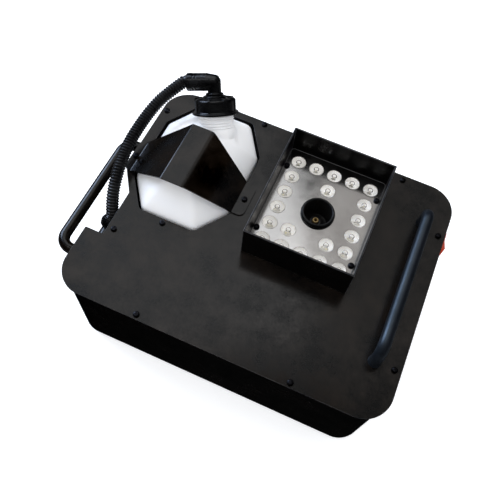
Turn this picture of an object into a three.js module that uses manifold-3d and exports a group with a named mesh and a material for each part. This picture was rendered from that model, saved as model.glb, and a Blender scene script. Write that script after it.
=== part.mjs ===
// Upward-firing LED fog machine: flat sheet-metal case, a light hood with a ring of LEDs
// round the fog nozzle, a fluid bottle in a well, and a corrugated hose back into the case.
// Millimetres, +Z up. x runs left to right along the front edge of the top plate, y from front
// to back, and z is 0 on the upper surface of the top plate. The last lines move the origin.
import * as THREE from 'three';
import { mergeVertices } from 'three/addons/utils/BufferGeometryUtils.js';
import Module from 'manifold-3d';

const wasm = await Module();
wasm.setup();

// ---------------------------------------------------------------- driving dimensions
const GAP = 0.3;                       // clearance between pieces that touch

const PLATE = { width: 370, depth: 295, corner: 33, thick: 2 };
const OVERHANG = 4;                    // the top plate stands out past the walls by this much
const CASE_HEIGHT = 128;               // top plate surface to the underside of the case
const SHEET = 2;                       // case wall thickness
const BOTTOM_THICK = 1.5;
const NOTCH = { right: 21.5, front: 73, back: 132, slantEnd: 164.5 };
const FOOT = { radius: 13, height: 9, inset: 38 };

const WELL = { left: 13.5, right: 137, front: 118, back: 286 };
const WELL_CHAMFER = { dx: 28, frontDy: 40, backDy: 44 };
const BOTTLE_CLEARANCE = 2.4;
const BOTTLE_DEPTH = 92;
const BOTTLE_SIDES = 32;                // corners of each level of the bottle's skin

const STRAP = { left: 9.6, right: 136.4, ridgeLeft: 60, ridgeRight: 86, height: 44, sheet: 1.5 };
const STRAP_Y = { mid: 180.5, base: 22.5, ridge: 40.5 };
const STRAP_TAB = 14.5;

const NECK_BASE = new THREE.Vector3(80.4, 239.9, 19.7);
const NECK_AZIMUTH = THREE.MathUtils.degToRad(30.3);    // leans towards -x
const NECK_ELEVATION = THREE.MathUtils.degToRad(48.5);
const NECK_RADIUS = 20.5;
const CAP = { start: 21.2, height: 17.8, radius: 23.2, flange: 26.8, ribs: 8, ribPhase: 43, boss: 13.2 };
const ELBOW = { height: 56.8, stem: 7.8, arm: 10.7, reach: 31.4, swivel: -19.75 };

const HOOD = { left: 166.1, right: 288.5, front: 118.7, back: 268, height: 45.2, sheet: 1.8 };
const HOOD_MID = { x: (HOOD.left + HOOD.right) / 2, y: (HOOD.front + HOOD.back) / 2 };
const LEDGE = { z: 6.4, thick: 1.8, openX: 109, openY: 132 };
const PANEL = { z: 8.5, thick: 1.8, corner: 4 };
const LED = { columns: 5, rows: 6, pitch: 22.3, radius: 8.4, top: 12.9 };
const INNER_LEDS = [[2, 1], [1, 4], [3, 4]];            // [column, row], row 0 at the back
const BOARD = { z: 0.3, thick: 1.5 };
const PANEL_SCREW = { dx: 55.5, dy: 45.5 };

const SHROUD = { rim: 19.4, tube: 17.4, bore: 15.6, top: 15, floor: -14 };
const NOZZLE = { boss: 7, bossTop: -6.5, radius: 3.7, top: -3.4, bore: 1.2 };
const HEATER = { radius: 30, top: -26, bottom: -112 };

const HANDLE_RADIUS = 6.75;
const LEFT_HANDLE = { near: 54, far: 212, reach: 33, z: -32 };
const RIGHT_HANDLE = { near: 61.5, far: 240.5, reach: 29, x: 340.5 };

const HOSE_RADIUS = 7.4;
const GLAND = {
  x: 12.8, z: -29.1, shank: 6, shankLength: 14, flange: 11.8, neck: 8.2, bendY: 94,
  nut: 10.9, nutStart: 4, nutEnd: 15, rise: 51.7,       // the nut's axis rises from +y
};

const WALL_X = PLATE.width - OVERHANG;                  // outer face of the right wall
const ROCKER = { y: 236.5, z: -20, length: 26, width: 19, rim: 2, body: 22, tilt: 9, proud: 3.1 };
const MENU = { y: 108, z: -62, width: 92, height: 46, thick: 2.5, holeY: 80, holeZ: 36 };
const DISPLAY = { width: 60, height: 16, rise: 9 };
const MENU_BUTTON = { radius: 4.5, pitch: 17, drop: -11, travel: 1 };
const SOCKETS = [{ name: 'data_socket_in', z: -46 }, { name: 'data_socket_out', z: -86 }];
const SOCKET = { y: 182, flangeY: 26, flangeZ: 31, barrel: 11.5, bore: 9 };
const INLET = { y: 233, z: -78, width: 30, height: 48, bodyY: 25.8, bodyZ: 41.8 };
const VENT = { count: 9, pitch: 11, width: 3.2, low: -96, high: -46 };

const PUMP = { x0: 62, x1: 118, y: 62, z: -92, radius: 20, nose: 11, bore: 6.3 };
const FLUID_TUBE_RADIUS = 3;
const CONTROL_BOARD = { behindWall: 18, thick: 1.6, halfY: 42, down: 36, up: 26 };
const SUPPLY = { x0: 205, x1: 300, y0: 22, y1: 82, lift: 4, thick: 1.6 };

const PLATE_SCREWS = [
  [99, 5.2], [270, 5.2], [362.2, 61], [362.2, 232], [303, 287.5],
  [122.6, 290.6], [6.3, 256.5], [73.6, 112.6], [29.5, 83],
];
const STRAP_SCREWS = [[5.2, 179], [144, 179.5]];

// ---------------------------------------------------------------- materials
const steelBlack = () => new THREE.MeshStandardMaterial({ color: 0x202022, roughness: 0.6, metalness: 0.3 });
const plasticBlack = () => new THREE.MeshStandardMaterial({ color: 0x0c0c0d, roughness: 0.35, metalness: 0 });
const rubberBlack = () => new THREE.MeshStandardMaterial({ color: 0x111111, roughness: 0.9, metalness: 0 });
const milkWhite = () => new THREE.MeshStandardMaterial({ color: 0xeef0f4, roughness: 0.45, metalness: 0 });
const satinMetal = () => new THREE.MeshStandardMaterial({ color: 0xb0aeab, roughness: 0.3, metalness: 1 });
const clearLens = () => new THREE.MeshStandardMaterial({ color: 0xf4f4f4, roughness: 0.08, metalness: 0 });
const brass = () => new THREE.MeshStandardMaterial({ color: 0xc9a24a, roughness: 0.3, metalness: 1 });
const aluminium = () => new THREE.MeshStandardMaterial({ color: 0xa8aaad, roughness: 0.4, metalness: 1 });
const zinc = () => new THREE.MeshStandardMaterial({ color: 0x9a9ca0, roughness: 0.4, metalness: 1 });
const boardGreen = () => new THREE.MeshStandardMaterial({ color: 0x1d5a3a, roughness: 0.5, metalness: 0 });
const boardWhite = () => new THREE.MeshStandardMaterial({ color: 0xe6e6e0, roughness: 0.5, metalness: 0 });
const rockerRed = () => new THREE.MeshStandardMaterial({ color: 0xc8301c, roughness: 0.3, metalness: 0 });
const smokedWindow = () => new THREE.MeshStandardMaterial({ color: 0x14222b, roughness: 0.1, metalness: 0 });
const tubeClear = () => new THREE.MeshStandardMaterial({ color: 0xd8d6cc, roughness: 0.4, metalness: 0 });

// ---------------------------------------------------------------- solids
function solid(geometry) {
  const bare = geometry.index ? geometry.clone() : geometry;
  bare.deleteAttribute('normal');
  bare.deleteAttribute('uv');
  const merged = mergeVertices(bare, 1e-4);
  return new wasm.Manifold(new wasm.Mesh({
    numProp: 3,
    vertProperties: new Float32Array(merged.attributes.position.array),
    triVerts: new Uint32Array(merged.index.array),
  }));
}

function geometryOf(manifold) {
  const mesh = manifold.getMesh();
  const geometry = new THREE.BufferGeometry();
  geometry.setAttribute('position', new THREE.BufferAttribute(mesh.vertProperties, 3));
  geometry.setIndex(new THREE.BufferAttribute(mesh.triVerts, 1));
  geometry.computeVertexNormals();
  return geometry;
}

const join = (first, ...others) => others.reduce((sum, other) => sum.add(other), first);
const cut = (first, ...others) => others.reduce((rest, other) => rest.subtract(other), first);

function boxGeometry(x0, x1, y0, y1, z0, z1) {
  const geometry = new THREE.BoxGeometry(x1 - x0, y1 - y0, z1 - z0);
  return geometry.translate((x0 + x1) / 2, (y0 + y1) / 2, (z0 + z1) / 2);
}
const box = (...limits) => solid(boxGeometry(...limits));

// Turns a solid's own +z towards 'x', 'y' or 'z'.
function towards(geometry, axis) {
  if (axis === 'x') geometry.rotateY(Math.PI / 2);
  if (axis === 'y') geometry.rotateX(-Math.PI / 2);
  return geometry;
}

// Solid of revolution about `axis` through `centre`; the profile is [radius, distance] pairs.
function turnedGeometry(profile, segments, axis = 'z', centre = [0, 0, 0]) {
  const points = profile.map(([radius, along]) => new THREE.Vector2(radius, along));
  const geometry = new THREE.LatheGeometry(points, segments).rotateX(Math.PI / 2);
  return towards(geometry, axis).translate(...centre);
}
const turned = (...args) => solid(turnedGeometry(...args));

function rod(radius, start, end, segments, axis = 'z', centre = [0, 0, 0]) {
  return turned([[0, start], [radius, start], [radius, end], [0, end]], segments, axis, centre);
}

// Closed outline with each corner rounded by its own radius: points are [x, y, radius].
function outline(points) {
  const shape = new THREE.Shape();
  points.forEach(([x, y, radius], i) => {
    const corner = new THREE.Vector2(x, y);
    const before = new THREE.Vector2(...points.at(i - 1).slice(0, 2)).sub(corner).normalize();
    const after = new THREE.Vector2(...points[(i + 1) % points.length].slice(0, 2)).sub(corner).normalize();
    const half = before.angleTo(after) / 2;
    const entry = corner.clone().addScaledVector(before, radius / Math.tan(half));
    const exit = corner.clone().addScaledVector(after, radius / Math.tan(half));
    const centre = before.clone().add(after).normalize().multiplyScalar(radius / Math.sin(half)).add(corner);
    const clockwise = before.cross(after) > 0;
    const angle = (point) => Math.atan2(point.y - centre.y, point.x - centre.x);
    if (i === 0) shape.moveTo(entry.x, entry.y);
    else shape.lineTo(entry.x, entry.y);
    if (radius > 0) shape.absarc(centre.x, centre.y, radius, angle(entry), angle(exit), clockwise);
  });
  shape.closePath();
  return shape;
}

const rectangle = (x0, x1, y0, y1, radius = 0) => outline(
  [[x0, y0, radius], [x1, y0, radius], [x1, y1, radius], [x0, y1, radius]]);

function slab(shape, z0, z1, curveSegments = 4) {
  const options = { depth: z1 - z0, bevelEnabled: false, curveSegments };
  return solid(new THREE.ExtrudeGeometry(shape, options).translate(0, 0, z0));
}

function tube(points, radius, sides, steps) {
  const path = new THREE.CatmullRomCurve3(
    points.map((point) => new THREE.Vector3(...point)), false, 'centripetal');
  const section = new THREE.Shape();
  for (let i = 0; i < sides; i += 1) {
    const angle = (2 * Math.PI * i) / sides;
    const method = i === 0 ? 'moveTo' : 'lineTo';
    section[method](radius * Math.cos(angle), radius * Math.sin(angle));
  }
  section.closePath();
  return new THREE.ExtrudeGeometry(section, { steps, bevelEnabled: false, extrudePath: path });
}

// Stacked outlines of equal point count joined into one closed skin, lowest first.
function loft(rings) {
  const count = rings[0].length;
  const positions = rings.flat().flat();
  const triangles = [];
  for (let r = 0; r + 1 < rings.length; r += 1) {
    for (let i = 0; i < count; i += 1) {
      const a = r * count + i;
      const b = r * count + ((i + 1) % count);
      triangles.push(a, b, a + count, b, b + count, a + count);
    }
  }
  const top = (rings.length - 1) * count;
  for (let i = 1; i + 1 < count; i += 1) {
    triangles.push(0, i + 1, i);
    triangles.push(top, top + i, top + i + 1);
  }
  const geometry = new THREE.BufferGeometry();
  geometry.setAttribute('position', new THREE.Float32BufferAttribute(positions, 3));
  geometry.setIndex(triangles);
  return solid(geometry);
}

const machine = new THREE.Group();
const chassis = new THREE.Group();
machine.add(chassis);

function place(name, shape, material, parent = chassis) {
  const geometry = shape.isBufferGeometry ? shape : geometryOf(shape);
  const mesh = new THREE.Mesh(geometry, material);
  mesh.name = name;
  parent.add(mesh);
  return mesh;
}

// ---------------------------------------------------------------- case
function plateOutline(inset) {
  const corner = PLATE.corner - inset;
  const low = inset;
  const right = PLATE.width - inset;
  const back = PLATE.depth - inset;
  const slant = new THREE.Vector2(NOTCH.slantEnd - NOTCH.back, NOTCH.right).normalize();
  const slantY = (x) => NOTCH.slantEnd + (inset - slant.x * x) / slant.y;
  return outline([
    [low, low, corner], [right, low, corner], [right, back, corner], [low, back, corner],
    [low, slantY(low), 0],
    [NOTCH.right + inset, slantY(NOTCH.right + inset), 0],
    [NOTCH.right + inset, NOTCH.front - inset, 0],
    [low, NOTCH.front - inset, 0],
  ]);
}

// The eight-sided opening for the bottle, moved inwards by `inset`.
function wellCorners(inset) {
  const { left, right, front, back } = WELL;
  const { dx, frontDy, backDy } = WELL_CHAMFER;
  const alongEnd = inset * 0.53;
  const alongSide = inset * 0.3;
  return [
    [left + dx + alongEnd, front + inset], [right - dx - alongEnd, front + inset],
    [right - inset, front + frontDy + alongSide], [right - inset, back - backDy - alongSide],
    [right - dx - alongEnd, back - inset], [left + dx + alongEnd, back - inset],
    [left + inset, back - backDy - alongSide], [left + inset, front + frontDy + alongSide],
  ];
}

function topPlate() {
  const sheet = slab(plateOutline(0), -PLATE.thick, 0);
  const opening = slab(outline(wellCorners(0).map(([x, y]) => [x, y, 7])), -5, 5, 2);
  const nozzleHole = rod(22, -5, 5, 24, 'z', [HOOD_MID.x, HOOD_MID.y, 0]);
  return cut(sheet, opening, nozzleHole);
}

function bodyShell() {
  const top = -PLATE.thick - GAP;
  const low = -CASE_HEIGHT;
  const outer = slab(plateOutline(OVERHANG), low, top);
  const inner = slab(plateOutline(OVERHANG + SHEET), low - 1, top + 1);
  const walls = cut(outer, inner);
  const through = 5;
  const window = (y, z, sizeY, sizeZ) => box(
    WALL_X - through, WALL_X + through, y - sizeY / 2, y + sizeY / 2, z - sizeZ / 2, z + sizeZ / 2);
  const openings = [
    window(ROCKER.y, ROCKER.z, ROCKER.length + 2 + 2 * GAP, ROCKER.width + 2 + 2 * GAP),
    window(MENU.y, MENU.z, MENU.holeY, MENU.holeZ),
    window(INLET.y, INLET.z, INLET.bodyY + 2 * GAP, INLET.bodyZ + 2 * GAP),
    ...SOCKETS.map(({ z }) => rod(SOCKET.barrel + GAP, -through, through, 20, 'x', [WALL_X, SOCKET.y, z])),
    rod(GLAND.shank + GAP, -through, through, 20, 'y', [GLAND.x, NOTCH.front - OVERHANG, GLAND.z]),
  ];
  const back = PLATE.depth - OVERHANG;
  for (let i = 0; i < VENT.count; i += 1) {
    const x = HOOD_MID.x + VENT.pitch * (i - (VENT.count - 1) / 2);
    openings.push(box(
      x - VENT.width / 2, x + VENT.width / 2, back - through, back + through, VENT.low, VENT.high));
  }
  return cut(walls, ...openings);
}

place('top_plate', topPlate(), steelBlack());
place('body_shell', bodyShell(), steelBlack());
const bottomInset = OVERHANG + SHEET + GAP;
const bottomPlate = slab(plateOutline(bottomInset), -CASE_HEIGHT, -CASE_HEIGHT + BOTTOM_THICK);
place('bottom_plate', bottomPlate, steelBlack());

const footProfile = [
  [0, -FOOT.height], [FOOT.radius - 2, -FOOT.height], [FOOT.radius, -FOOT.height + 2],
  [FOOT.radius, -GAP], [0, -GAP],
];
[[0, 0], [1, 0], [1, 1], [0, 1]].forEach(([right, back], i) => {
  const foot = place(`rubber_foot_${i + 1}`, turnedGeometry(footProfile, 16), rubberBlack());
  const x = right ? PLATE.width - FOOT.inset : FOOT.inset;
  const y = back ? PLATE.depth - FOOT.inset : FOOT.inset;
  foot.position.set(x, y, -CASE_HEIGHT);
});

// ---------------------------------------------------------------- fluid bottle, well and strap
function wellBox() {
  const wall = 1.2;
  const floor = -BOTTLE_DEPTH - 2;
  const top = -PLATE.thick - GAP;
  const ring = (inset) => outline(wellCorners(inset).map(([x, y]) => [x, y, 7]));
  return cut(slab(ring(-1), floor, top, 2), slab(ring(wall - 1), floor + wall, top + 1, 2));
}

// Each level of the bottle is [z, inset]: a square-shouldered body under a domed, faceted top.
function bottle() {
  const levels = [
    [-BOTTLE_DEPTH, 7], [-BOTTLE_DEPTH + 2, 2.5], [-BOTTLE_DEPTH + 6, 0], [-5, 0], [-1.5, 1.4],
    [4.5, 6], [13, 14], [22.5, 25], [30, 35], [34.5, 44], [36, 52],
  ];
  const rings = levels.map(([z, inset]) => {
    const corners = wellCorners(BOTTLE_CLEARANCE);
    const centreX = (WELL.left + WELL.right) / 2;
    const centreY = (WELL.front + WELL.back) / 2;
    const halfX = (WELL.right - WELL.left) / 2 - BOTTLE_CLEARANCE;
    const halfY = (WELL.back - WELL.front) / 2 - BOTTLE_CLEARANCE;
    const scaleX = (halfX - inset) / halfX;
    const scaleY = (halfY - inset) / halfY;
    const shape = outline(corners.map(([x, y]) => [
      centreX + (x - centreX) * scaleX, centreY + (y - centreY) * scaleY, 8 * scaleX]));
    return shape.getSpacedPoints(BOTTLE_SIDES).slice(0, BOTTLE_SIDES).map((point) => [point.x, point.y, z]);
  });
  const frame = neckFrame();
  const neck = solid(turnedGeometry([
    [0, -8], [NECK_RADIUS, -8], [NECK_RADIUS, CAP.start + 12], [0, CAP.start + 12]], 24).applyMatrix4(frame));
  return join(loft(rings), neck);
}

// Frame whose +z is the neck's axis and whose +x is the way the elbow's arm points.
function neckFrame() {
  const flat = Math.cos(NECK_ELEVATION);
  const axis = new THREE.Vector3(
    -Math.sin(NECK_AZIMUTH) * flat, Math.cos(NECK_AZIMUTH) * flat, Math.sin(NECK_ELEVATION));
  const level = new THREE.Vector3(-Math.cos(NECK_AZIMUTH), -Math.sin(NECK_AZIMUTH), 0);
  const arm = level.applyAxisAngle(axis, THREE.MathUtils.degToRad(ELBOW.swivel));
  const side = new THREE.Vector3().crossVectors(axis, arm);
  return new THREE.Matrix4().makeBasis(arm, side, axis).setPosition(NECK_BASE);
}

// Ribbed cap over the neck, with a round boss on top and a hole for the elbow's stem.
function cap() {
  const { start, height, radius, flange, ribs, ribPhase, boss } = CAP;
  const end = start + height;
  const skirt = turned([
    [0, start], [flange, start], [flange, start + 2.6], [radius, start + 3.6], [radius, end - 2.6],
    [radius - 2.2, end - 0.2], [boss, end + 0.4], [boss, end + 3], [0, end + 3],
  ], 32);
  const gripRibs = [];
  for (let i = 0; i < ribs; i += 1) {
    const rib = boxGeometry(radius - 4, radius + 1.2, -1.35, 1.35, start + 1.5, end - 1.5);
    gripRibs.push(solid(rib.rotateZ(THREE.MathUtils.degToRad(ribPhase + (360 * i) / ribs))));
  }
  const neckRoom = rod(NECK_RADIUS + GAP, start - 1, start + 12 + GAP, 24);
  const stemHole = rod(ELBOW.stem - 1.5 + GAP, start, end + 5, 20);
  return cut(join(skirt, ...gripRibs), neckRoom, stemHole);
}

// One-piece elbow: a stem in the cap's hole, a right-angle bend, and a collar that takes the hose.
function elbow() {
  const capTop = CAP.start + CAP.height + 3 + GAP;
  const { height, stem, arm, reach } = ELBOW;
  const spigot = rod(stem - 1.5, CAP.start + 13, capTop + 1, 18);
  const upright = turned([[0, capTop], [stem + 2.4, capTop], [stem + 2.4, capTop + 2], [stem, capTop + 3],
    [stem, height], [stem * 0.93, height + 4], [stem * 0.55, height + 7.4], [0, height + 8.2]], 20);
  const across = turned([[0, 0], [stem + 0.6, 0], [arm - 1, 6], [arm - 0.4, 10], [arm - 0.4, reach - 4],
    [arm, reach - 3.5], [arm, reach], [HOSE_RADIUS + 0.8, reach], [0, reach]], 20, 'x', [0, 0, height]);
  return join(upright, spigot, across);
}

function strap() {
  const { left, right, ridgeLeft, ridgeRight, height, sheet } = STRAP;
  const { mid, base, ridge } = STRAP_Y;
  const lift = GAP;
  const under = [
    [left - STRAP_TAB + 5, lift], [left, lift], [ridgeLeft, height - sheet], [ridgeRight, height - sheet],
    [right, lift], [right + STRAP_TAB, lift],
  ];
  const side = sheet * 1.35;
  const over = [
    [right + STRAP_TAB, lift + sheet], [right + side * 0.3, lift + sheet], [ridgeRight + side * 0.3, height],
    [ridgeLeft - side * 0.3, height], [left - side * 0.3, lift + sheet], [left - STRAP_TAB + 5, lift + sheet],
  ];
  const profile = new THREE.Shape([...under, ...over].map(([x, z]) => new THREE.Vector2(x, z)));
  const length = 2 * ridge + 4;
  const folded = new THREE.ExtrudeGeometry(profile, { depth: length, bevelEnabled: false });
  folded.rotateX(Math.PI / 2).translate(0, mid + length / 2, 0);
  const blank = outline([
    [left - STRAP_TAB + 4.9, mid - base, 6], [left, mid - base, 0], [ridgeLeft, mid - ridge, 0],
    [ridgeRight, mid - ridge, 0], [right, mid - base, 0], [right + STRAP_TAB + 0.1, mid - base, 7],
    [right + STRAP_TAB + 0.1, mid + base, 7], [right, mid + base, 0], [ridgeRight, mid + ridge, 0],
    [ridgeLeft, mid + ridge, 0], [left, mid + base, 0], [left - STRAP_TAB + 4.9, mid + base, 6],
  ]);
  return solid(folded).intersect(slab(blank, -5, height + 5, 4));
}

place('bottle_well', wellBox(), steelBlack());
place('fluid_bottle', bottle(), milkWhite());
place('bottle_strap', strap(), steelBlack());

const neckGroup = new THREE.Group();
neckGroup.applyMatrix4(neckFrame());
chassis.add(neckGroup);
place('bottle_cap', cap(), plasticBlack(), neckGroup);
place('cap_elbow', elbow(), plasticBlack(), neckGroup);

// ---------------------------------------------------------------- hose and gland
// Frame at the gland's bend whose +z points out along the nut.
function glandNutFrame() {
  const tilt = THREE.MathUtils.degToRad(GLAND.rise - 90);
  return new THREE.Matrix4().makeRotationX(tilt).setPosition(GLAND.x, GLAND.bendY, GLAND.z);
}

const hoseStart = new THREE.Vector3(ELBOW.reach + GAP, 0, ELBOW.height).applyMatrix4(neckFrame());
const hoseLead = new THREE.Vector3(ELBOW.reach + 5, 0, ELBOW.height).applyMatrix4(neckFrame());
const hoseFoot = new THREE.Vector3(0, 0, GLAND.nutEnd + 4).applyMatrix4(glandNutFrame());
const hoseEnd = new THREE.Vector3(0, 0, GLAND.nutEnd + GAP).applyMatrix4(glandNutFrame());
const hoseRoute = [
  hoseStart.toArray(), hoseLead.toArray(),
  [13.6, 247.4, 42.8], [7.7, 236.2, 37.9], [3.9, 223.9, 33.7], [1.5, 210.9, 30.3], [0.1, 197.7, 27.5],
  [-0.5, 184.3, 25.1], [-0.2, 171, 22.5], [1, 157.9, 19.2], [2.7, 145, 15.1], [4.9, 132.8, 9.6],
  [7.4, 121.4, 2.5], [10.5, 111.7, -6.6], hoseFoot.toArray(), hoseEnd.toArray(),
];
place('hose', tube(hoseRoute, HOSE_RADIUS, 10, 32), rubberBlack());

// Angled gland: a flange and body on the recess's front wall, and a nut that rises to meet the hose.
const glandWall = NOTCH.front - OVERHANG;
const glandBody = turned([
  [0, glandWall - GLAND.shankLength], [GLAND.shank, glandWall - GLAND.shankLength],
  [GLAND.shank, glandWall + GAP],
  [GLAND.flange, glandWall + GAP], [GLAND.flange, glandWall + 3], [GLAND.neck, glandWall + 4],
  [GLAND.neck, GLAND.bendY], [0, GLAND.bendY],
], 18, 'y', [GLAND.x, 0, GLAND.z]);
const glandBend = new THREE.SphereGeometry(GLAND.neck, 18, 12).translate(GLAND.x, GLAND.bendY, GLAND.z);
const glandNut = turnedGeometry([
  [0, 0], [GLAND.neck, 0], [GLAND.neck, GLAND.nutStart], [GLAND.nut, GLAND.nutStart + 1],
  [GLAND.nut, GLAND.nutEnd - 3], [HOSE_RADIUS + 1.4, GLAND.nutEnd], [0, GLAND.nutEnd],
], 18).applyMatrix4(glandNutFrame());
place('hose_gland', join(glandBody, solid(glandBend), solid(glandNut)), plasticBlack());

// ---------------------------------------------------------------- light hood
function hood() {
  const { left, right, front, back, height, sheet } = HOOD;
  const outer = box(left, right, front, back, GAP, height);
  const floor = LEDGE.z + LEDGE.thick;
  const well = box(left + sheet, right - sheet, front + sheet, back - sheet, floor, height + 1);
  const under = box(left + sheet, right - sheet, front + sheet, back - sheet, -1, LEDGE.z);
  const { x, y } = HOOD_MID;
  const { openX, openY } = LEDGE;
  const middle = box(x - openX / 2, x + openX / 2, y - openY / 2, y + openY / 2, -1, height);
  return cut(outer, well, under, middle);
}

function ledPlaces() {
  const { columns, rows, pitch } = LED;
  const places = [];
  for (let row = 0; row < rows; row += 1) {
    for (let column = 0; column < columns; column += 1) {
      const onEdge = row === 0 || row === rows - 1 || column === 0 || column === columns - 1;
      const isInner = INNER_LEDS.some(([c, r]) => c === column && r === row);
      if (onEdge || isInner) {
        places.push([
          HOOD_MID.x + (column - (columns - 1) / 2) * pitch,
          HOOD_MID.y - (row - (rows - 1) / 2) * pitch,
        ]);
      }
    }
  }
  return places;
}

function ledPanel() {
  const margin = HOOD.sheet + GAP;
  const { left, right, front, back } = HOOD;
  const { z, thick, corner } = PANEL;
  const shape = rectangle(left + margin, right - margin, front + margin, back - margin, corner);
  const hole = (radius, sides, x, y) => rod(radius + GAP, z - 1, z + thick + 1, sides, 'z', [x, y, 0]);
  const lensHoles = ledPlaces().map(([x, y]) => hole(LED.radius, 12, x, y));
  return cut(slab(shape, z, z + thick, 2), hole(SHROUD.tube, 28, HOOD_MID.x, HOOD_MID.y), ...lensHoles);
}

// Moulded sheet of lenses: one dome above each LED, all on a common web.
function lensArray() {
  const web = { low: 4.2, high: 5.6 };
  const { openX, openY } = LEDGE;
  const { x, y } = HOOD_MID;
  const edge = 0.6;
  const sheet = box(x - openX / 2 + edge, x + openX / 2 - edge, y - openY / 2 + edge, y + openY / 2 - edge,
    web.low, web.high);
  const centre = rod(SHROUD.tube + 2, 0, 10, 24, 'z', [x, y, 0]);
  const { radius, top } = LED;
  const dome = [
    [0, web.low + 0.2], [radius - 1.5, web.low + 0.2], [radius, PANEL.z + PANEL.thick],
    [radius * 0.75, top - 0.8], [0, top],
  ];
  const domes = ledPlaces().map(([cx, cy]) => turned(dome, 10, 'z', [cx, cy, 0]));
  return join(cut(sheet, centre), ...domes);
}

function ledBoard() {
  const { openX, openY } = LEDGE;
  const { x, y } = HOOD_MID;
  const { z, thick } = BOARD;
  const sheet = box(x - openX / 2 + 1, x + openX / 2 - 1, y - openY / 2 + 1, y + openY / 2 - 1, z, z + thick);
  const centre = rod(SHROUD.tube + 3, -1, 5, 24, 'z', [x, y, 0]);
  const emitters = ledPlaces().map(([cx, cy]) => box(
    cx - 3, cx + 3, cy - 3, cy + 3, z + thick - 0.2, z + thick + 1.6));
  return join(cut(sheet, centre), ...emitters);
}

place('light_hood', hood(), steelBlack());
place('led_panel', ledPanel(), satinMetal());
place('lens_array', lensArray(), clearLens());
place('led_board', ledBoard(), boardWhite());

// ---------------------------------------------------------------- nozzle and heater
const nozzleCentre = [HOOD_MID.x, HOOD_MID.y, 0];
function shroud() {
  const { rim, tube: tubeRadius, bore, top, floor } = SHROUD;
  const seat = PANEL.z + PANEL.thick + GAP;
  return turned([
    [NOZZLE.radius + GAP, floor - 2], [tubeRadius, floor - 2], [tubeRadius, seat], [rim, seat],
    [rim, top - 1.2], [rim - 1, top], [bore + 1, top], [bore, top - 1], [bore, floor],
    [NOZZLE.boss, floor], [NOZZLE.boss, NOZZLE.bossTop - 1], [NOZZLE.boss - 1, NOZZLE.bossTop],
    [NOZZLE.radius + GAP, NOZZLE.bossTop], [NOZZLE.radius + GAP, floor - 2],
  ], 24, 'z', nozzleCentre);
}

function heater() {
  const { radius, top, bottom } = HEATER;
  const block = turned([
    [0, bottom], [radius, bottom], [radius, top - 3], [radius - 3, top], [9, top], [9, SHROUD.floor - 4],
    [0, SHROUD.floor - 4]], 24, 'z', nozzleCentre);
  const bore = rod(3, -30, -10, 12, 'z', nozzleCentre);
  return cut(block, bore);
}

place('nozzle_shroud', shroud(), plasticBlack());
place('nozzle_tip', turned([
  [NOZZLE.bore, -13], [2.6, -22], [2.6, SHROUD.floor - 4], [NOZZLE.radius, SHROUD.floor - 3],
  [NOZZLE.radius, NOZZLE.top - 0.5], [NOZZLE.radius - 0.6, NOZZLE.top], [NOZZLE.bore + 0.4, NOZZLE.top],
  [NOZZLE.bore, NOZZLE.top - 0.6], [NOZZLE.bore, -13]], 18, 'z', nozzleCentre), brass());
place('heater_block', heater(), aluminium());

const cover = { half: 38, sheet: 1.2, top: -30, bottom: -118 };
const coverBox = (half, bottom, top) => box(
  HOOD_MID.x - half, HOOD_MID.x + half, HOOD_MID.y - half, HOOD_MID.y + half, bottom, top);
place('heater_cover', cut(
  coverBox(cover.half, cover.bottom, cover.top),
  coverBox(cover.half - cover.sheet, cover.bottom - 1, cover.top + 1),
), zinc());
const thermostatPlace = [HOOD_MID.x, HOOD_MID.y + HEATER.radius + GAP, -60];
place('thermostat', rod(9, 0, 5.5, 16, 'y', thermostatPlace), plasticBlack());

// ---------------------------------------------------------------- pump and tubes
function pumpBody() {
  const { x0, x1, y, z, radius, nose, bore } = PUMP;
  return turned([
    [bore, x0], [nose, x0], [nose, x0 + 6], [radius, x0 + 8], [radius, x1 - 8],
    [nose, x1 - 6], [nose, x1], [bore, x1], [bore, x0],
  ], 18, 'x', [0, y, z]);
}

const plungerEnds = [PUMP.x0 + 14, PUMP.x1 - 14];
place('pump_body', pumpBody(), zinc());
place('pump_plunger', rod(PUMP.bore - GAP, ...plungerEnds, 16, 'x', [0, PUMP.y, PUMP.z]), satinMetal());

const suctionRoute = [
  [GLAND.x, glandWall - GLAND.shankLength - GAP, GLAND.z], [GLAND.x, glandWall - 18, GLAND.z],
  [GLAND.x + 3, 40, GLAND.z - 7], [20, 32, -50], [32, 42, -80], [46, PUMP.y, PUMP.z],
  [PUMP.x0 - GAP, PUMP.y, PUMP.z],
];
const pressureRoute = [
  [PUMP.x1 + GAP, PUMP.y, PUMP.z], [140, PUMP.y, PUMP.z], [175, 82, -108], [205, 130, -122],
  [HOOD_MID.x, 165, -122], [HOOD_MID.x, 186, -121.5], [HOOD_MID.x, HOOD_MID.y, -118],
  [HOOD_MID.x, HOOD_MID.y, HEATER.bottom - GAP],
];
place('suction_tube', tube(suctionRoute, FLUID_TUBE_RADIUS, 8, 20), tubeClear());
place('pressure_tube', tube(pressureRoute, FLUID_TUBE_RADIUS, 8, 26), tubeClear());

// ---------------------------------------------------------------- handles
// A bar bent at both ends: `out` runs along the legs, the grip runs along y.
function handle(near, far, reach, toWorld) {
  const bend = 15;
  const arc = (centreY, sign) => [22.5, 45, 67.5].map((degrees) => {
    const angle = THREE.MathUtils.degToRad(sign > 0 ? degrees : 90 - degrees);
    return [centreY - sign * bend * Math.cos(angle), reach - bend + bend * Math.sin(angle)];
  });
  const route = [
    [near, 0], [near, (reach - bend) / 2], [near, reach - bend], ...arc(near + bend, 1),
    [near + bend, reach],
    [near + bend + 12, reach], [(near + far) / 2, reach], [far - bend - 12, reach],
    [far - bend, reach], ...arc(far - bend, -1), [far, reach - bend], [far, (reach - bend) / 2], [far, 0],
  ];
  return tube(route.map(([y, out]) => toWorld(y, out)), HANDLE_RADIUS, 10, 34);
}

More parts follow.
